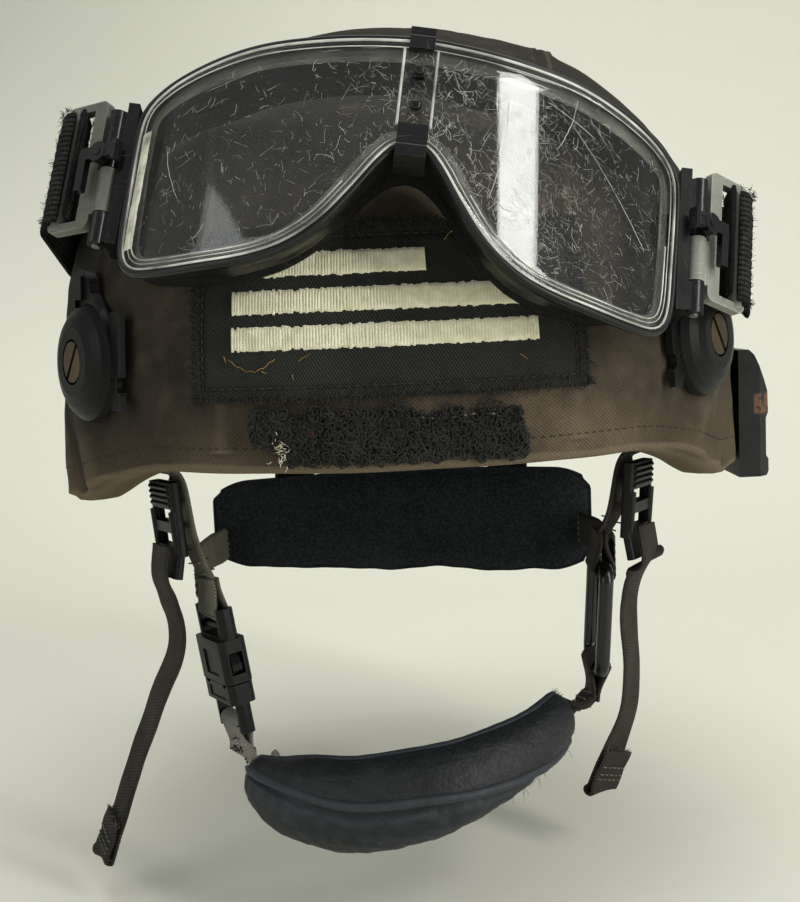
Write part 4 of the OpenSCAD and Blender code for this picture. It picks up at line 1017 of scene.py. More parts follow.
def makePile():
    half, columns, rows = pile["wide"] / 2, pile["columns"], pile["rows"]

    def at(i, j):
        x = mix(-half, half, j / columns)
        z = mix(pileEdge(x, False), pileEdge(x, True), i / rows)
        low = i in (0, rows) or j in (0, columns)
        return pilePoint(x, z, 0.05 if low else 0.7 + 0.5 * abs(lumps(x * 0.5, z * 0.5, 4)))

    cloth = Cloth()
    cloth.grid([[at(i, j) for j in range(columns + 1)] for i in range(rows + 1)])
    cloth.build("pileBase", padCloth, instead=("pile_strip",), slot="pile")


def curlPile():
    half = pile["wide"] / 2
    rng = random.Random(11)
    curls = Cloth()
    for _ in range(pile["curls"]):
        x = rng.uniform(-half - 0.6, half + 0.4)
        worn = lumps(x * 0.09, 3)
        z = rng.uniform(pileEdge(x, False) - 0.8, pileEdge(x, True) + 0.8)
        if x > 8 and z > 13.5 and rng.random() < 0.75:
            continue
        p = pilePoint(x, z, 0.7)
        up = domeOut(azimuthAt(x, -4), 25, -4)
        tall = rng.uniform(1.8, 4.0) * (1 + 0.5 * worn)
        side = up.cross(Vector((rng.uniform(-1, 1), 0.2, rng.uniform(-1, 1)))).normalized()
        radius = rng.uniform(0.7, 1.7)
        spin = rng.uniform(0, 6.28)
        line = []
        for s in range(8):
            a = spin + s * rng.uniform(0.65, 0.95)
            line.append(p + up * (0.15 + tall * 0.36 * s / 3.0 * (1 - s / 14)) + side * radius * math.cos(a)
                        + up.cross(side) * radius * math.sin(a))
        curls.tube(line, rng.uniform(0.2, 0.33), 4)
    curls.build("pileCurls", pileThread, slot="pile")
    fleck = Cloth()
    for _ in range(pile["flecks"]):
        p = pilePoint(-22 + rng.uniform(-0.6, 0.6), 11.8 + rng.uniform(-0.6, 0.6), 2.2)
        fibre(fleck, p, (rng.uniform(-1, 1), -0.4, rng.uniform(-1, 1)), (0, -1, 0), 1.2, 0.11, rng)
    fleck.build("redFleck", redThread, slot="pile")


def lintPile():
    rng = random.Random(12)
    lint = Cloth()
    for _ in range(pile["lint"]):
        p = pilePoint(rng.gauss(-31.5, 1.4), rng.gauss(8.2, 1.9), 1.9)
        fibre(lint, p, (rng.uniform(-1, 1), -0.3, rng.uniform(-1, 1)), (0, -0.4, 0), rng.uniform(1.4, 3.4),
              0.13, rng, 1.3, 6)
    lint.build("pileLint", creamThread, slot="pile")
    dashes = [pilePoint(x, 15.6 + 0.5 * math.sin(x * 0.3), 0.9) for x in steps(8, 35, 20)]
    sewn("pileStitch", dashes, (0, -1, 0.2), tanThread, 3.1, 2.1, 0.3, slot="pile")


makeBadge()
frayBadge()
for index, bar in enumerate(badge["bars"]):
    satinBar(index, *bar)
goldThreads()
makePile()
curlPile()
lintPile()
print("badge and pile strip sewn")


# Goggles: sizes in their own frame, x to the right, y back, z up, before tilt and roll
goggles = {"at": (6.5, -150, 90), "tilt": 22, "roll": 9, "radius": 105, "lens": 2.2, "lip": 1.2,
           "skirt": 17, "sides": 12, "foam": 7, "seat": -5.6, "widest": 80.42,
           "hinge": (89.5, 44), "turn": 33, "reach": 18, "low": -14, "high": 29, "bar": 4.6,
           "strap": 37, "elastic": 1.8, "scratches": 1900}
lensHalf = [(0, 31.5), (27, 30.6), (46, 29.8), (62, 27.4), (73, 24.6), (79, 20.5), (80.5, 12),
            (80.3, -8), (79.4, -24), (75, -31), (66, -33.4), (54, -33.8), (42, -33), (32, -30),
            (23, -23.5), (15.5, -14), (9.5, -5), (5, 0), (0, 1.8)]
tiltBy = (Matrix.Rotation(math.radians(goggles["roll"]), 3, "Y")
          @ Matrix.Rotation(math.radians(-goggles["tilt"]), 3, "X"))
onLens = {"body": "goggles", "slot": "lens"}


def onGoggles(x, y, z):
    return Vector(goggles["at"]) + tiltBy @ Vector((x, y, z))


def lensDepth(x, d=0.0):
    r = goggles["radius"]
    x = max(-r + d + 0.1, min(r - d - 0.1, x))
    return r - math.sqrt((r - d) ** 2 - x * x)


def onFront(x, z, out):
    # Place in front of the lens's face
    return onGoggles(x, lensDepth(x) - out, z)


def lensOutline():
    # The lens's edge seen from the front, all the way round
    right = [(p.x, p.z) for p in evenly(lensLine, 2.2)]
    return right + [(-x, z) for x, z in right[-2:0:-1]]


lensLine = curve([(x, 0, z) for x, z in lensHalf], 8)
lensEdge = lensOutline()


def grown(by):
    # The lens's edge moved outward
    n = len(lensEdge)
    made = []
    for i, (x, z) in enumerate(lensEdge):
        ax, az = lensEdge[i - 1]
        bx, bz = lensEdge[(i + 1) % n]
        tx, tz = bx - ax, bz - az
        size = math.hypot(tx, tz) or 1
        made.append((x - by * tz / size, z + by * tx / size))
    return made


def domeShare(p, d):
    # Under 1 inside the surface d in from the shell, over 1 outside it
    a, b, c = halves(d)
    h = max(0, (p.z - helmet["widest"]) / c)
    q = (abs(p.x) / a) ** helmet["plan"] + (abs(p.y - helmet["middle"]) / b) ** helmet["plan"]
    return q ** (helmet["side"] / helmet["plan"]) + h ** helmet["side"]


def reachBack(x, z, d):
    # How far back from the goggles' own plane that surface lies
    low, high = 0.0, 110.0
    for _ in range(16):
        mid = (low + high) / 2
        if domeShare(onGoggles(x, mid, z), d) > 1:
            low = mid
        else:
            high = mid
    return low


def seatAt(x, z):
    return goggles["seat"] - 3.7 * ease((x - 56) / 8) * ease((4 - z) / 8)


def skirtBack(x, z):
    deep = goggles["skirt"] + goggles["sides"] * (x / 80) ** 2
    lifted = z + 0.3 * deep * ease((5 - z) / 20)
    back = reachBack(x, lifted, seatAt(x, z)) - goggles["foam"] - 0.3
    return x, min(lensDepth(x) + deep, back), lifted


def hoop(sections):
    cloth = Cloth()
    cloth.grid(sections, closedAcross=True, closedAlong=True)
    return cloth


def makeFrame():
    # Smooth front rim, two fine beads, then the skirt with a shallow rib
    lip, thick = goggles["lip"], goggles["lens"]
    front = ((0.35, -0.35), (lip + 0.1, -0.75), (lip + 0.7, -0.3), (lip + 0.7, 0.5), (lip + 0.1, 1.0),
             (lip + 0.55, 1.5), (lip + 0.7, 2.1), (lip, 2.7))
    flare = ((0.02, 0.10), (0.10, 0.30), (0.22, 0.05), (0.5, 0.02), (0.78, 0.03), (0.88, 0.35), (0.97, 0.35))
    rims = {by: grown(by) for by in {by for by, _ in front} | {lip + 1, -3.2, 0.6}}
    sections = []
    for i in range(len(lensEdge)):
        seatX, fx, fz = rims[0.35][i][0], *rims[lip][i]
        nearX, nearZ = rims[0.6][i]
        lowX, lowZ = rims[-3.2][i]
        d0, under = lensDepth(seatX), lensDepth(lowX, thick + 0.3)
        bx, by, bz = skirtBack(*rims[lip + 1][i])
        cx, _, cz = skirtBack(nearX, nearZ)
        sections.append(
            [onGoggles(rims[g][i][0], d0 + y, rims[g][i][1]) for g, y in front]
            + [onGoggles(mix(fx, bx, s) + out * (bx - cx), mix(d0 + 3.6, by, s),
                         mix(fz, bz, s) + out * (bz - cz))
               for s, out in flare]
            + [onGoggles(bx, by, bz), onGoggles(cx, by, cz),
               onGoggles(mix(cx, nearX, 0.6), mix(by, d0 + thick + 2.4, 0.6), mix(cz, nearZ, 0.6)),
               onGoggles(lowX, under + 2, lowZ), onGoggles(lowX, under, lowZ),
               onGoggles(seatX, lensDepth(seatX, thick + 0.3), rims[0.35][i][1])])
    hoop(sections).build("goggleFrame", frameRubber, body="goggles", instead=("goggle_frame",),
                         slot="frame_rubber")


def lensSpan(x):
    # Lowest and highest point of the lens at x, from its outline
    x = abs(x)
    found = []
    for p, q in zip(lensLine, lensLine[1:]):
        lo, hi = sorted((p.x, q.x))
        if lo <= x <= hi and hi - lo > 1e-6:
            found.append(mix(p.z, q.z, (x - p.x) / (q.x - p.x)))
    return min(found), max(found)


def makeLens(columns=150, rows=26):
    # Both faces and the edge between them, with a fold down the middle where the two fields meet
    thick, widest = goggles["lens"], goggles["widest"]
    faces = [], []
    for k in range(columns + 1):
        x = widest * math.sin(math.pi * (k / columns - 0.5))
        low, high = lensSpan(x)
        if high - low < 1:
            low, high = min(low, 1), max(high, 2)
        front, rear = [], []
        for z in steps(low, high, rows):
            near = min(z - low, high - z, (widest - abs(x)) * 1.2 + 0.02)
            soft = 0.35 * (1 - min(1, near / 0.8)) ** 2
            fold = 0.5 * bump(x / 3.2)
            front.append(onGoggles(x, lensDepth(x) - 0.02 + soft + fold, z))
            rear.append(onGoggles(x, lensDepth(x, thick) - soft + fold, z))
        faces[0].append(front)
        faces[1].append(rear)
    cloth = Cloth()
    cloth.grid(faces[0], flip=True)
    cloth.grid(faces[1])
    loop = border(rows, columns)
    cloth.joined(loop, (columns + 1) * (rows + 1), flip=True)
    cloth.build("lensSheet", lensSheet, instead=("goggle_lens",), **onLens)


def lensBorder():
    # The cloudy margin behind the lens, where it laps over the frame, and the pale strip at its left end
    rows = []
    for (ax, az), (bx, bz) in zip(grown(-0.2), grown(-4.8)):
        line = [(mix(ax, bx, s), mix(az, bz, s)) for s in (0, 0.33, 0.66, 1)]
        rows.append([onGoggles(x, lensDepth(x, goggles["lens"]) + behind, z)
                     for run, behind in ((line, 0.15), (line[::-1], 0.35)) for x, z in run])
    hoop(rows).build("lensMargin", marginFinish, **onLens)
    strip = Cloth()
    rows = []
    for k, z in enumerate(steps(-24.5, 13.5, 30)):
        wide = 2.9 + 0.25 * lumps(k * 0.6, 3)
        left = -79.4 + 0.025 * (-20 - z if z < -10 else 0)
        rows.append([onFront(left + wide * s, z, out)
                     for s, out in ((0, 0.1), (0.15, 0.35), (0.5, 0.42), (0.85, 0.35), (1, 0.1))])
    strip.grid(rows, flip=True)
    strip.build("lensEndStrip", endFinish, **onLens)


# Long scratches on the lens: both ends, bow and radius
longScratches = (((25, 22.7), (22.3, -11.3), 1.5, 0.13), ((45.3, 26), (40.3, 8.8), 1.0, 0.16),
                 ((36.7, 22.2), (51.6, 16.5), 0.4, 0.14), ((43.4, 18.8), (70, -10), 0.8, 0.12),
                 ((-60, 20), (-44, 24), 0.8, 0.08), ((-70, 6), (-63, -14), -1.0, 0.08))


def lensScratches():
    # Fine bright scratches, thickest where the lens has been rubbed, and a few long ones
    rng = random.Random(71)
    cloth = Cloth()
    made = 0
    while made < goggles["scratches"]:
        x = rng.gauss(33, 17) if rng.random() < 0.55 else rng.uniform(-74, 74)
        if abs(x) > 75:
            continue
        low, high = lensSpan(x)
        z = rng.uniform(low + 3, high - 5)
        turn = rng.gauss(-0.9, 0.8) if rng.random() < 0.6 else rng.uniform(0, 3.14)
        length = rng.choice((0.8, 1.2, 1.6, 2.2, 3.0, 4.5)) * rng.uniform(0.6, 1.2)
        bend = rng.gauss(0, 0.16)
        line = []
        for _ in range(5):
            line.append(onFront(x, z, 0.04))
            x, z = x + math.cos(turn) * length / 4, z + math.sin(turn) * length / 4
            turn += bend
        if abs(x) < 76:
            cloth.tube(line, rng.choice((0.025, 0.035, 0.05)), 3, ends=False)
            made += 1
    for (ax, az), (bx, bz), bow, radius in longScratches:
        line = []
        for s in steps(0, 1, 14):
            x = mix(ax, bx, s) + bow * 4 * s * (1 - s) + rng.uniform(-0.12, 0.12)
            line.append(onFront(x, mix(az, bz, s), 0.05))
        cloth.tube(line, [radius * (0.4 + 0.6 * math.sin(math.pi * (k + 0.5) / 15)) for k in range(15)], 4,
                   ends=False)
    cloth.build("lensScratches", scratchFinish, **onLens)


def lensTrim():
    # Polished edge all round the lens, with its highlight painted in as a bright colour
    rows = [[onGoggles(mix(px, x, s), lensDepth(x) - out, mix(pz, z, s))
             for s, out in ((0.9, 0.85), (0.3, 1.05), (-0.35, 0.75), (-0.35, 0.4), (0.9, 0.45))]
            for (x, z), (px, pz) in zip(grown(0.55), lensEdge)]
    hoop(rows).build("lensRim", paintedEdgeHighlight, **onLens)


def lensBeads():
    # Two finer beads inside the edge, the second only along the bottom and the ends, both painted bright as
    # highlights
    beads = Cloth()
    for by, radius, top, gap in ((-1.5, 0.17, 99, 0), (-2.7, 0.22, -2, 16)):
        edge = grown(by)
        run = []
        for x, z in edge + edge[:1] + [(0, 100)]:
            if z < top and abs(x) >= gap:
                run.append(onFront(x, z, 0.12))
            else:
                if len(run) > 3:
                    beads.tube(run, radius, 6)
                run = []
    beads.build("lensBeads", paintedEdgeHighlight, **onLens)


def bridgeStrip():
    # The strip over the bridge, between two lines painted bright as highlights, with its two pegs
    strip = Cloth()
    for side in (-1, 1):
        strip.tube([onGoggles(side * 4.6, lensDepth(4.6) - 0.25, z) for z in steps(5.8, 29.5, 20)], 0.42, 6)
    strip.build("bridgeLines", paintedEdgeHighlight, **onLens)
    pegs = Cloth()
    out = tiltBy @ Vector((0, -1, 0))
    for z in (23.0, 12.2):
        center = onFront(0, z, 1.1)
        pegs.tube([center + out * k for k in (-0.8, -0.1, 0.5, 0.75)], [1.7, 1.7, 1.5, 0.9], 16)
    pegs.build("bridgePegs", shinyNylon, body="goggles", slot="black_nylon")


def makeFoam():
    # Soft ring behind the skirt, cut to the dome; each point from its share across and back
    ring = ((0.06, 0), (0.5, -0.02), (0.94, 0), (1.0, 0.08), (1.06, 0.5), (1.0, 0.92), (0.92, 1.0),
            (0.5, 1.0), (0.08, 1.0), (0.0, 0.92), (-0.06, 0.5), (0.0, 0.08))
    lip = goggles["lip"]
    sections = []
    for far, outer, inner in zip(grown(lip + 1), grown(lip + 0.6), grown(-2.6)):
        ax, ay, az = skirtBack(*far)
        bx, bz = ax + (inner[0] - outer[0]), az + (inner[1] - outer[1])
        d, full = seatAt(*outer), goggles["foam"] - 0.1
        deepIn = min(ay + full, reachBack(bx, bz, d))
        deepOut = min(ay + full, reachBack(ax, az, d))
        wob = 0.25 * lumps(ax * 0.2, az * 0.2, 3)
        sections.append([onGoggles(mix(ax, bx, s) + wob * 0.4,
                                   mix(ay + 0.7, mix(deepOut, deepIn, min(1, max(0, s))), t),
                                   mix(az, bz, s) + wob * 0.4) for s, t in ring])
    made = hoop(sections).build("faceFoam", faceFoam, body="goggles", instead=("goggle_foam",),
                                slot="face_foam")


makeFrame()
makeLens()
lensTrim()
lensBeads()
lensBorder()
lensScratches()
bridgeStrip()
makeFoam()
print("goggles made")


def onHinge(side, x, y, z):
    # Place on a strap bracket: x along it from the hinge, y behind it, z up
    a = math.radians(goggles["turn"])
    hx, hy = goggles["hinge"]
    return onGoggles(side * (hx + x * math.cos(a) - y * math.sin(a)),
                     hy + x * math.sin(a) + y * math.cos(a), z)


def bandPiece(name, line, thick=1.8, ribs=11, **how):
    # Ribbed elastic: line is a list of (low edge, high edge, outward) along the strap
    rows = []
    for low, high, out in line:
        face, back = [], []
        for s in steps(0, 1, ribs * 4):
            rib = 0.28 * abs(math.sin(math.pi * ribs * s)) - 0.14
            half = thick * (0.28 + 0.22 * min(1, min(s, 1 - s) * 18))
            p = low.lerp(high, s)
            face.append(p + out * (half + rib))
            back.append(p - out * (half + rib * 0.5))
        rows.append(face + back[::-1])
    cloth = Cloth()
    cloth.sleeve(rows)
    return cloth.build(name, elastic, slot="elastic", **how)


def strapEdge(k):
    # One edge of the elastic strap, from the right bracket round the back to the left one
    a = math.radians(goggles["turn"])
    hx, hy = goggles["hinge"]
    reach = goggles["reach"] + 4
    height = (goggles["low"] + goggles["high"]) / 2 + (k - 0.5) * goggles["strap"]
    start, end = (onGoggles(side * (hx + reach * math.cos(a) + 3.5), hy + reach * math.sin(a) + 7, height)
                  for side in (1, -1))
    line = []
    for u in steps(78, 282, 60):
        middle = mix(64, 62, (u - 78) / 102) if u < 180 else mix(62, 82, (u - 180) / 102)
        line.append(dome(u, middle + (k - 0.5) * goggles["strap"] * 0.92,
                         helmet["coverOut"] - 1.3 - goggles["elastic"] / 2))
    # extra points in the two free stretches
    return ([start.lerp(line[0], t) for t in (0, 0.2, 0.4, 0.6, 0.8)] + line
            + [line[-1].lerp(end, t) for t in (0.2, 0.4, 0.6, 0.8, 1)])


def makeStrap():
    lows, highs = strapEdge(0), strapEdge(1)
    line = []
    for i, (low, high) in enumerate(zip(lows, highs)):
        way = (lows[min(i + 1, len(lows) - 1)] - lows[max(i - 1, 0)]).normalized()
        out = way.cross(high - low).normalized()
        if out.dot(low - Vector((0, helmet["middle"], low.z))) < 0:
            out = -out
        line.append((low, high, out))
    made = bandPiece("elasticStrap", line, goggles["elastic"], body=None, instead=("goggle_strap",))
    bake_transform(made)


def rollEnd(side, word, turn=(-128, 148), tail=1.15, hairs=520):
    # Rolled end of the strap on its bracket: round the bar, then a short straight tail, and its fuzz
    thick, reach = goggles["elastic"], goggles["reach"]
    inner = goggles["bar"] / 2 + 0.3
    middle = (goggles["low"] + goggles["high"]) / 2
    low, high = middle - goggles["strap"] / 2, middle + goggles["strap"] / 2
    around = lambda r, angle, z: onHinge(side, reach + r * math.cos(angle), r * math.sin(angle), z)
    r = inner + thick / 2 + 0.05
    line = []
    for k in range(34):
        angle = math.radians(mix(*turn, min(1, k / 27)))
        away = max(0, k - 27) * tail
        x = reach + r * math.cos(angle) - away * math.sin(angle)
        y = r * math.sin(angle) + away * math.cos(angle)
        out = (around(r + 1, angle, 0) - around(r, angle, 0)).normalized()
        line.append((onHinge(side, x, y, low), onHinge(side, x, y, high), out))
    bandPiece(word + "StrapRoll", line, thick, body=word + "_bracket", instead=(word + "_strap_end",))
    rng = random.Random(40 + side)
    fuzz = Cloth()
    r = inner + thick + 0.15
    for _ in range(hairs):
        angle = math.radians(rng.uniform(*turn))
        z = rng.choice((low, high)) + rng.gauss(0, 0.5) if rng.random() < 0.45 else rng.uniform(low, high)
        p = around(r, angle, z)
        way = (around(r + 1, angle, z) - p) + scatter(rng) * 0.9
        fibre(fuzz, p, way, (0, 0, 0), rng.uniform(0.8, 2.2), rng.uniform(0.07, 0.13), rng, 1.0, 4)
    fuzz.build(word + "RollFuzz", darkThread, body=word + "_bracket", slot="elastic")


makeStrap()
rollEnd(-1, "left")
rollEnd(1, "right")
print("elastic strap made")


# Webbing of the harness: each strap is a woven band along the line its solid follows
straps = {"thick": 1.6, "y": -58, "yaw": 30, "lockAt": (83.2, -58, -9.5), "lockLean": 4,
          "buckleAt": (-68.6, -58, -54), "lean": 8, "socketBar": -2, "plugBar": -43.5, "bar": 1.6,
          "ringTop": (69, -58, -45.4), "ringHigh": 36, "ringLean": 4, "ring": 2.6, "eye": 12,
          "eyeWide": 16.6, "boltUp": 23, "anchorIn": 12.4, "napeBack": 118, "napeBend": 22, "tailOut": 3.9}
turnYaw, leanBack = math.radians(straps["yaw"]), math.radians(straps["lean"])
webTurn = Vector((-math.sin(turnYaw), -math.cos(turnYaw), 0))
eyeTurn = Vector((-math.sin(turnYaw), math.cos(turnYaw), 0))
ringTop = Vector(straps["ringTop"])
ringLow = ringTop + straps["ringHigh"] * Vector((-math.sin(math.radians(straps["ringLean"])), 0,
                                                 -math.cos(math.radians(straps["ringLean"]))))


def fromBuckle(z):
    # Place up the middle of the buckle, whose length leans back
    return Vector(straps["buckleAt"]) + Vector((-z * math.sin(leanBack), 0, z * math.cos(leanBack)))


def fromLock(x, z):
    lean = math.radians(straps["lockLean"])
    return Vector(straps["lockAt"]) + Vector((x * math.cos(turnYaw) * math.cos(lean) + z * math.sin(lean),
                                              -x * math.sin(turnYaw),
                                              z * math.cos(lean) - x * math.cos(turnYaw) * math.sin(lean)))


def mirrored(points):
    return [Vector((-p[0], p[1], p[2])) for p in points]


def band(cloth, path, across, width=16, thick=1.6, seed=0, ripple=0.35, columns=14):
    # Woven band: rounded selvages, a little slack and curl from place to place
    rows = []
    for i, p in enumerate(path):
        _, side, up = stance(path, i, across[i])
        slack = ripple * lumps(i * 0.11, seed)
        curl = ripple * 1.2 * lumps(i * 0.07, seed, 9)
        narrow = 1 + 0.012 * lumps(i * 0.5, seed, 4)
        face, back = [], []
        for k in range(columns + 1):
            s = 2 * k / columns - 1
            half = thick / 2 * (1 - abs(s) ** 10) ** 0.5 + 0.10 * bump((abs(s) - 0.9) / 0.12)
            mid = p + side * (s * width / 2 * narrow) + up * (slack + curl * (s * s - 0.4) + 0.25 * curl * s)
            face.append(mid + up * half)
            back.append(mid - up * half)
        rows.append(face + back[::-1])
    cloth.sleeve(rows)


def eyePath(middle, up, out, radius, length, parts=14):
    # Down one side, round the bar and up the other, meeting where the webbing is sewn
    r = radius + straps["thick"] / 2 + 0.05
    line = [middle + up * length + out * 0.85, middle + up * (length * 0.62) + out * 1.0]
    for k in range(parts + 1):
        a = math.pi * k / parts
        line.append(middle + out * (r * math.cos(a)) - up * (r * math.sin(a)))
    line += [middle + up * (length * 0.62) - out * 1.0, middle + up * length - out * 0.85]
    return curve(line, 3)


def strap(name, web, node, body, points, turns, eye, eyeSide, seeds, parts=8, thick=1.6):
    # A band with a sewn eye, which has its own turn; gives back the band's path for its stitches
    path, across = curve(points, parts), curve(turns, parts)
    cloth = Cloth()
    pieces = [(path, across, 16, thick, 0.35), (eye, [eyeSide] * len(eye), straps["eyeWide"], 1.6, 0.1)]
    for seed, (line, side, width, deep, ripple) in sorted(zip(seeds, pieces), key=lambda one: one[0]):
        band(cloth, line, side, width, deep, seed, ripple)
    cloth.build(name, web, body=body, instead=(node,), slot="webbing")
    return path, across


def bandStitches(name, path, across, rowsAt, thread, body="helmet", thick=1.6, width=16):
    # Cross rows of stitching over a band, seen from both faces
    cloth = Cloth()
    last = len(path) - 1
    for at in rowsAt:
        i = max(1, min(last - 1, round(at * last)))
        _, side, up = stance(path, i, across[i])
        for face in (-1, 1):
            for k in range(5):
                middle = path[i] + side * ((k - 2) * width * 0.17) + up * (face * (thick / 2 + 0.12))
                arch = [middle + side * (q * 1.05) + up * face * (0.2 - 0.5 * q * q)
                        for q in (-1, -0.5, 0, 0.5, 1)]
                cloth.tube(arch, [0.18, 0.3, 0.32, 0.3, 0.18], 5)
    cloth.build(name, thread, body=body, slot="webbing")


def makeSideStraps():
    anchor = dome(60, brim(60) + straps["boltUp"], straps["anchorIn"])
    lift = Vector((0, 0, 6.5))
    y, eye = straps["y"], straps["eye"]
    top = [anchor + lift, anchor, anchor - lift, (84.5, y, -4.5), (78.6, y, -9.5)]
    upward = (fromBuckle(1) - fromBuckle(0)).normalized()
    path, across = strap(
        "leftSideStrap", oliveWeb, "left_side_strap", "helmet",
        mirrored(top + [(75.6, y, -29)]) + [fromBuckle(straps["socketBar"] + eye - 1)],
        mirrored([webTurn] * 7),
        eyePath(fromBuckle(straps["socketBar"]), upward, eyeTurn.cross(upward), straps["bar"], eye),
        eyeTurn, (1, 2))
    bandStitches("leftEyeStitch", path, across, (0.88, 0.915, 0.95), greyThread, thick=3.6)
    path, across = strap(
        "rightSideStrap", brownWeb, "right_side_strap", "helmet",
        top + [(74.6, y, -27), ringTop + Vector((0.4, 0, eye - 2))], [webTurn] * 7,
        eyePath(ringTop, Vector((0, 0, 1)), Vector((1, 0, 0)), straps["ring"], eye),
        Vector((0, -1, 0)), (3, 4))
    bandStitches("rightEyeStitch", path, across, (0.87, 0.91, 0.95), darkThread, thick=3.8)


def tail(word, points, turns, seed, flip):
    # Free end of a strap: down from the lock, folded back on itself, sewn and frayed
    points, turns = [Vector(p) for p in points], [Vector(t) for t in turns]
    if flip:
        points, turns = mirrored(points), mirrored(turns)
    path, across = curve(points, 12), curve(turns, 12)
    end, turn = path[-1], across[-1]
    way = (end - path[-3]).normalized()
    side = (turn - way * way.dot(turn)).normalized()
    up = way.cross(side)
    if up.y > 0:
        up = -up
    fold = []
    for k in range(13):
        a = math.pi * k / 12
        fold.append(end + way * (7.6 + 1.15 * math.sin(a)) + up * (1.0 - 1.0 * math.cos(a)))
    back = [fold[-1] - way * (k * 1.5) + up * (0.12 * math.sin(k)) for k in range(1, 11)]
    full = path + [end + way * 3.8] + fold + back
    cloth = Cloth()
    band(cloth, full, across + [turn] * (len(full) - len(path)), seed=seed, ripple=0.5)
    cloth.build(word + "Tail", brownWeb, instead=(word + "_tail",), slot="webbing")
    doubled = [end + way * k + up for k in range(-6, 8)]
    bandStitches(word + "TailStitch", doubled, [turn] * len(doubled), (0.35, 0.6, 0.8), greyThread, thick=3.7)
    rng = random.Random(seed)
    fray = Cloth()
    for _ in range(46):
        p = full[-1] + side * rng.uniform(-7.8, 7.8) + up * rng.uniform(-0.5, 0.7)
        away = -way + up * rng.uniform(-0.3, 0.8) + side * rng.uniform(-0.6, 0.6)
        fibre(fray, p, away, up, rng.uniform(0.8, 2.6), 0.12, rng, 0.9, 4)
    fray.build(word + "TailFray", greyThread, slot="webbing")


def makeTails():
    out = straps["tailOut"]
    start = [fromLock(out, -22), fromLock(out + 2, -33)]
    turned = [webTurn, webTurn, (-0.55, -0.84, 0), (-0.5, -0.86, 0)]
    tail("left", start + [(83.5, -60, -52), (81.5, -60, -66), (88.5, -60, -84), (96.6, -59, -103),
                          (104, -58, -122), (110, -57, -138)],
         turned + [(-0.5, -0.86, 0.1)] + [(-0.5, -0.84, 0.18)] * 3, 6, True)
    tail("right", start + [(84, -53, -48), (82, -46, -58), (81.5, -41, -74), (83, -38, -90),
                           (80.5, -37, -109), (73, -37, -128)],
         turned + [(-0.5, -0.86, 0)] * 2 + [(-0.6, -0.8, 0), (-0.8, -0.6, 0)], 7, False)


def makeRearStraps():
    end = straps["napeBack"] - straps["napeBend"] * (1 - 5 / 180)
    for s, word, web in ((-1, "left", oliveWeb), (1, "right", brownWeb)):
        path = curve([(s * 74.4, straps["y"] + 8.4, -46), (s * 80, -20, -52), (s * 88, 30, -58),
                      (s * 89, 70, -60), (s * 86, end - 6.5, -61), (s * 84.5, end + 1.5, -61)], 14)
        across = [Vector((0, 0, 1))] * len(path)
        cloth = Cloth()
        band(cloth, path, across, seed=9 + s, ripple=0.45)
        cloth.build(word + "RearStrap", web, instead=(word + "_rear_strap",), slot="webbing")
        bandStitches(word + "RearStitch", path, across, (0.02, 0.05, 0.95, 0.975), greyThread)


def makeHangers():
    cloth = Cloth()
    inside, bend = straps["anchorIn"], straps["napeBend"]
    for x in (-52, 0, 52):
        k = 2 * x / 180
        y = straps["napeBack"] - bend * k * k + 3.5 + 0.8 + 0.5
        u = 180 - math.degrees(math.asin(power(x / (halves(inside)[0] - 1), helmet["plan"] / 2)))
        wall = (dome(u - 1, 0, 0) - dome(u + 1, 0, 0)).normalized()
        back = Vector((1, -4 * bend * k / 180, 0)).normalized()
        path = curve([dome(u, brim(u) + 24, 9 + 0.8 + 0.9), dome(u, brim(u) + 13, inside),
                      dome(u, brim(u) - 2, inside + 0.4), (x, y, -37), (x, y, -46)], 10)
        band(cloth, path, curve([wall, wall, wall, back, back], 10), width=20, seed=x, ripple=0.4)
    cloth.build("napeHangers", brownWeb, instead=("nape_hangers",), slot="webbing")


def makeChinWebs():
    eye = straps["eye"]
    downward = (fromBuckle(-1) - fromBuckle(0)).normalized()
    path, across = strap(
        "leftChinWeb", greyWeb, "left_chin_web", "chin_strap",
        [fromBuckle(straps["plugBar"] - eye + 2),
         (-59, -60, -108), (-53.5, -65, -112.5), (-50.5, -67.2, -113.2)],
        [eyeTurn, eyeTurn, (-0.5, 0.8, 0.3), (-0.4, 0.6, 0.7)],
        eyePath(fromBuckle(straps["plugBar"]), downward, eyeTurn.cross(downward), straps["bar"], eye),
        eyeTurn, (16, 15), 10, 2.9)
    bandStitches("leftChinStitch", path, across, (0.08, 0.2, 0.32), darkThread, "chin_strap", 3.2)
    tilt = Matrix.Rotation(math.radians(8), 3, "Y")
    ring = eyePath(Vector(), Vector((0, 0, -1)), Vector((1, 0, 0)), straps["ring"], eye)
    path, across = strap(
        "rightChinWeb", brownWeb, "right_chin_web", "chin_strap",
        [ringLow + Vector((-1.6, 0, -eye + 1)),
         (60.5, -59.2, -95.6), (54.8, -59.6, -97.6), (48.8, -60, -98.2)],
        [(0, -1, 0.1), (0, -1, 0.2), (-0.2, -0.7, 0.65), (-0.25, -0.35, 0.9)],
        [ringLow + tilt @ p for p in ring], Vector((0, -1, 0)), (18, 17), 10, 3.2)
    bandStitches("rightChinStitch", path, across, (0.1, 0.25, 0.42), tanThread, "chin_strap", 3.4)


makeSideStraps()
makeTails()
makeRearStraps()
makeHangers()
makeChinWebs()
print("harness webbing made")


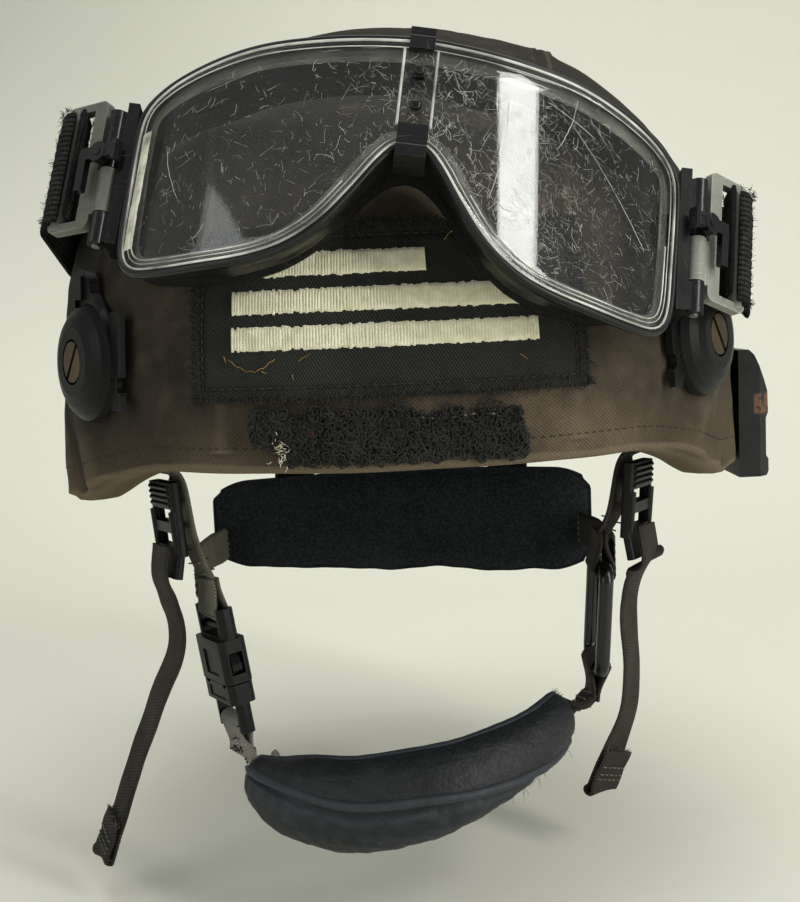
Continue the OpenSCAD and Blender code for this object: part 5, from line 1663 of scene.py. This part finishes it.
# Chin cup: smooth leather inside, padded outside, a rolled lip, piping and a stitched flange.
# Its path is the middle line; its size is radius, upper and lower angle along that line
cup = {"thick": 5, "puff": 1.5, "lip": 1.7, "across": 44,
       "path": [(-50, -70, -113), (-43, -77, -115), (-32, -84, -115), (-18, -89, -115), (-3, -90, -113),
                (12, -88, -110), (25, -82, -106.5), (36, -75, -103), (43, -68, -100), (47, -62.5, -98)],
       "size": [(8, 60, -60), (11, 70, -80), (13.5, 75, -105), (14.5, 75, -115), (14.5, 75, -115),
                (13.5, 72, -110), (12, 70, -95), (10.5, 68, -80), (9.5, 66, -70), (8.5, 64, -64)]}
cupLine = curve(cup["path"], 14)
cupSize = curve(cup["size"], 14)
cupCount = len(cupLine)
onCup = {"body": "chin_strap", "slot": "cup_leather"}


def cupPoint(i, s, f):
    # i along the cup, s from 0 at the upper edge to 1 at the lower, f through its thickness
    i = max(0, min(cupCount - 1, i))
    c, q = cupLine[i], cupSize[i]
    a = math.radians(mix(q.y, q.z, s))
    way = Vector((c.x, c.y + 30, 0)).normalized()
    w = 2 * s - 1
    r = q.x + f * cup["thick"] / 2 * (0.4 + 0.6 * (1 - w ** 4))
    return c + r * (math.cos(a) * way + Vector((0, 0, math.sin(a))))


def cupLip(i):
    # Share of the cup's height where its rolled lip runs: high at the left end, low at the right
    s = i / (cupCount - 1)
    return 0.24 + 0.10 * ease(s / 0.5) + 0.40 * ease((s - 0.45) / 0.55)


def cupEnd(i):
    # Steps from the cup's nearer end, and how far it has opened there
    end = min(i, cupCount - 1 - i)
    return end, min(1, 0.35 + 0.65 * (end / 5) ** 0.5)


def cupSkin(i, s, end, shut):
    # Place and outward direction of the padded face, smooth over the lip and creased below it
    p = cupPoint(i, s, 1)
    out = (p - cupPoint(i, s, -1)).normalized()
    flow = Vector((p.x * 0.05, p.y * 0.05, p.z * 0.09))
    crease = lumps(*(flow * 1.6 + Vector((2, 5, 1))))
    wrinkle = 0.8 * max(0, crease) + 0.5 * lumps(*(flow * 4.5)) + 0.22 * lumps(*(flow * 12))
    low = s - cupLip(i)
    calm = 0.35 + 0.65 * ease((low + 0.05) / 0.15)
    seam = 1.5 * bump((low - 0.05) / 0.045) + 0.7 * bump((s - 0.86) / 0.03)
    lift = cup["puff"] * bump(2 * s - 1) * shut + 0.9 * calm * wrinkle * min(1, end / 4)
    return p + out * (lift - seam * 0.8 - (1 - shut) * 1.2), out


def cupBody():
    rows = []
    for i in range(cupCount):
        end, shut = cupEnd(i)
        face, back = [], []
        for s in steps(0, 1, cup["across"]):
            p, out = cupSkin(i, s, end, shut)
            flow = Vector((p.x * 0.05, p.y * 0.05, p.z * 0.09))
            inner = 0.25 * lumps(*(flow * 2.2 + Vector((9, 0, 0)))) + 0.35 * bump((s - 0.5) / 0.5)
            face.append(p)
            back.append(cupPoint(i, s, -1) - out * inner * min(1, end / 5))
        rows.append(face + back[::-1])
    cloth = Cloth()
    cloth.sleeve(rows)
    made = cloth.build("chinCup", cupLeather, instead=("chin_cup",), **onCup)


def cupFaces():
    # Lining inside, and the smooth upper face over the lip
    lining, upper = Cloth(), Cloth()
    rows = []
    for i in range(2, cupCount - 2):
        through = (cupPoint(i, 0.5, 1) - cupPoint(i, 0.5, -1)).normalized()
        rows.append([cupPoint(i, mix(0.03, 0.97, k / 30), -1)
                     - through * (0.35 + 0.35 * bump(2 * k / 30 - 1)) for k in range(31)])
    lining.grid(rows, flip=True)
    lining.build("cupLining", cupLining, **onCup)
    rows = []
    for i in range(1, cupCount - 1):
        row = []
        for k in range(21):
            p, out = cupSkin(i, cupLip(i) * (0.02 + 0.98 * k / 20), *cupEnd(i))
            row.append(p + out * 0.4 * min(1, k / 2, (21 - k) / 2))
        rows.append(row)
    upper.grid(rows)
    upper.build("cupUpperFace", cupLining, **onCup)


def cupRolls():
    # Thick lips at both edges, then the rolled lip and the piping over the padded face
    def roll(name, line, radii):
        cloth = Cloth()
        cloth.tube(line, radii, 14)
        cloth.build(name, cupLeather, **onCup)

    for name, s, radius in (("cupUpperLip", 0.0, cup["lip"]), ("cupLowerLip", 1.0, 1.3)):
        roll(name, [cupPoint(i, s, 0.1) for i in range(cupCount)],
             [radius * (0.75 + 0.25 * min(1, cupEnd(i)[0] / 6)) * (1 + 0.08 * lumps(i * 0.25, s))
              for i in range(cupCount)])
    inside = range(1, cupCount - 1)
    swell = [min(1, 0.45 + min(i, cupCount - 3 - i) / 9) for i in range(cupCount - 2)]
    roll("cupRolledLip", [cupSkin(i, cupLip(i) + 0.012, 9, 1)[0] for i in inside],
         [cup["lip"] * k for k in swell])
    roll("cupLowerPiping", [cupSkin(i, 0.885, 9, 1)[0] for i in inside], [0.55 * k for k in swell])


def cupStitches():
    middle = Vector((0, -40, -105))
    for name, s, thread in (("cupUpperStitch", 0.06, darkThread), ("cupLowerStitch", 0.93, greyThread)):
        line = [cupPoint(i, s, 1.12) for i in range(2, cupCount - 2)]
        sewn(name, line, lambda p: p - middle, thread, 2.6, 2.0, 0.27, **onCup)


def cupFray():
    # Ragged flange at the right end, and loose threads along the lower edge
    rng = random.Random(44)
    fray = Cloth()
    for _ in range(150):
        i = cupCount - 1 - int(abs(rng.gauss(0, 5)))
        s = rng.choice((0.0, 1.0, rng.random()))
        p = cupPoint(i, s, rng.uniform(-0.4, 1.0))
        way = (0.9, 0.2, rng.uniform(-0.6, 0.6))
        fibre(fray, p, way, (0, -0.2, 0), rng.uniform(1.0, 3.2), rng.uniform(0.10, 0.17), rng, 1.0, 5)
    for _ in range(26):
        i = rng.randint(int(cupCount * 0.7), cupCount - 4)
        p = cupPoint(i, rng.uniform(0.86, 1.0), 1.0)
        fibre(fray, p, (rng.uniform(-0.4, 0.6), -0.3, -1), (0, -0.1, -0.1), rng.uniform(3, 8), 0.12,
              rng, 0.7, 7)
    fray.build("cupFray", greyThread, **onCup)


# Padded pieces inside the helmet and behind the neck; patches run from u to u and z to z
pads = {"thick": 11, "crown": 3, "on": 20.6, "round": 47.04,
        "patches": (("front", -26, 26, 38, 82), ("rear", 150, 210, 22, 74),
                    ("rightSide", 52, 98, 36, 82), ("leftSide", -98, -52, 36, 82)),
        "nape": {"half": 89.4, "bend": 22, "back": 118, "thick": 7, "top": -32, "high": 44, "lean": 3}}


def pillow(name, at, columns, rows, node, finish, slot, grooves=(), seam=0.75):
    # at(s, t, f): place at s, t from -1 to 1 over the pad, f from 0 at its back to 1 at its face
    front, back = [], []
    for i in range(rows + 1):
        t = 2 * i / rows - 1
        line, below = [], []
        for j in range(columns + 1):
            s = 2 * j / columns - 1
            plump = max(0.0, (1 - abs(s) ** 5) * (1 - abs(t) ** 5)) ** 0.45
            for g in grooves:
                plump -= 0.28 * bump((s - g) / 0.05)
            p = at(s, t, 0.5 + 0.5 * plump)
            tremble = 0.35 * lumps(*(p * 0.09)) + 0.18 * lumps(*(p * 0.3))
            reach = (at(s, t, 1) - at(s, t, 0)).normalized()
            line.append(p + reach * tremble * plump)
            below.append(at(s, t, 0.5 - 0.5 * max(0.0, (1 - abs(s) ** 8) * (1 - abs(t) ** 8)) ** 0.4))
        front.append(line)
        back.append(below)
    cloth = Cloth()
    cloth.grid(front)
    cloth.grid(back, flip=True)
    loop = border(columns, rows)
    cloth.joined(loop, (columns + 1) * (rows + 1), flip=True)
    made = cloth.build(name, finish, instead=(node,), slot=slot)
    piping = Cloth()
    edge = [cloth.points[a] for a in loop + loop[:1]]
    piping.tube(edge, seam, 8, ends=False)
    piping.build(name + "Piping", finish, slot=slot)


def shellPad(word, u0, u1, z0, z1):
    def at(s, t, f):
        s, t = s * 0.985, t * 0.97
        lift = pads["thick"] + pads["crown"] * (1 - t ** 4) * (1 - s ** 4)
        return dome(mix(u0, u1, (s + 1) / 2), mix(z0, z1, (t + 1) / 2), pads["on"] + 0.1 + f * (lift - 0.3))

    node = word.replace("Side", "_side") + "_pad"
    pillow(word + "Pad", at, 40, 30, node, padCloth, "pad_fabric")


def crownAt(s, t, f):
    # A round pad from a square grid
    top = helmet["crown"] - pads["on"] + 0.6
    a, b = s * math.sqrt(1 - t * t / 2), t * math.sqrt(1 - s * s / 2)
    k2 = a * a + b * b
    low = top - 13 - 3 * (1 - k2 * k2) - 9 * k2
    high = top - 9 * k2
    return Vector((pads["round"] * a, helmet["middle"] + pads["round"] * b, mix(high - 0.1, low + 0.2, f)))


def napeAt(s, t, f):
    # Corners rounded off, the lower edge a little wavy
    nape = pads["nape"]
    i = (1 - t) / 2
    x = nape["half"] * s * (1 - 0.045 * bump((1 - abs(t)) / 0.3))
    wave = 1.5 * lumps(x * 0.03, i, 4) + 0.7 * lumps(x * 0.09, i * 2, 7)
    turned = 3.2 * max(0.0, (abs(s) - 0.86) / 0.14) ** 2 * (2 * i - 1)
    thick = nape["thick"] * (0.35 + 0.65 * (1 - t ** 4) * (1 - s ** 8)) + 1.0
    lean = (x + 90) * math.sin(math.radians(nape["lean"])) * i
    return Vector((x, nape["back"] - nape["bend"] * s * s + (0.5 - f) * -thick + wave,
                   nape["top"] - nape["high"] * i * (1 - 0.12 * s * s) - lean + turned + 0.9 * wave * i))


cupBody()
cupRolls()
cupFaces()
cupStitches()
cupFray()
for patch in pads["patches"]:
    shellPad(*patch)
pillow("crownPad", crownAt, 44, 44, "crown_pad", padCloth, "pad_fabric")
pillow("napePad", napeAt, 90, 24, "nape_pad", napeCloth, "nape_fabric",
       grooves=(-0.5, 0.0, 0.5), seam=0.6)
for number, t in enumerate((-0.84, 0.84), 1):
    sewn(f"napeStitch{number}", [napeAt(s, t, 1.0) for s in steps(-0.96, 0.96, 90)], (0, 1, 0), greyThread,
         3.0, 2.2, 0.28, slot="nape_fabric")
print("cup and pads made")
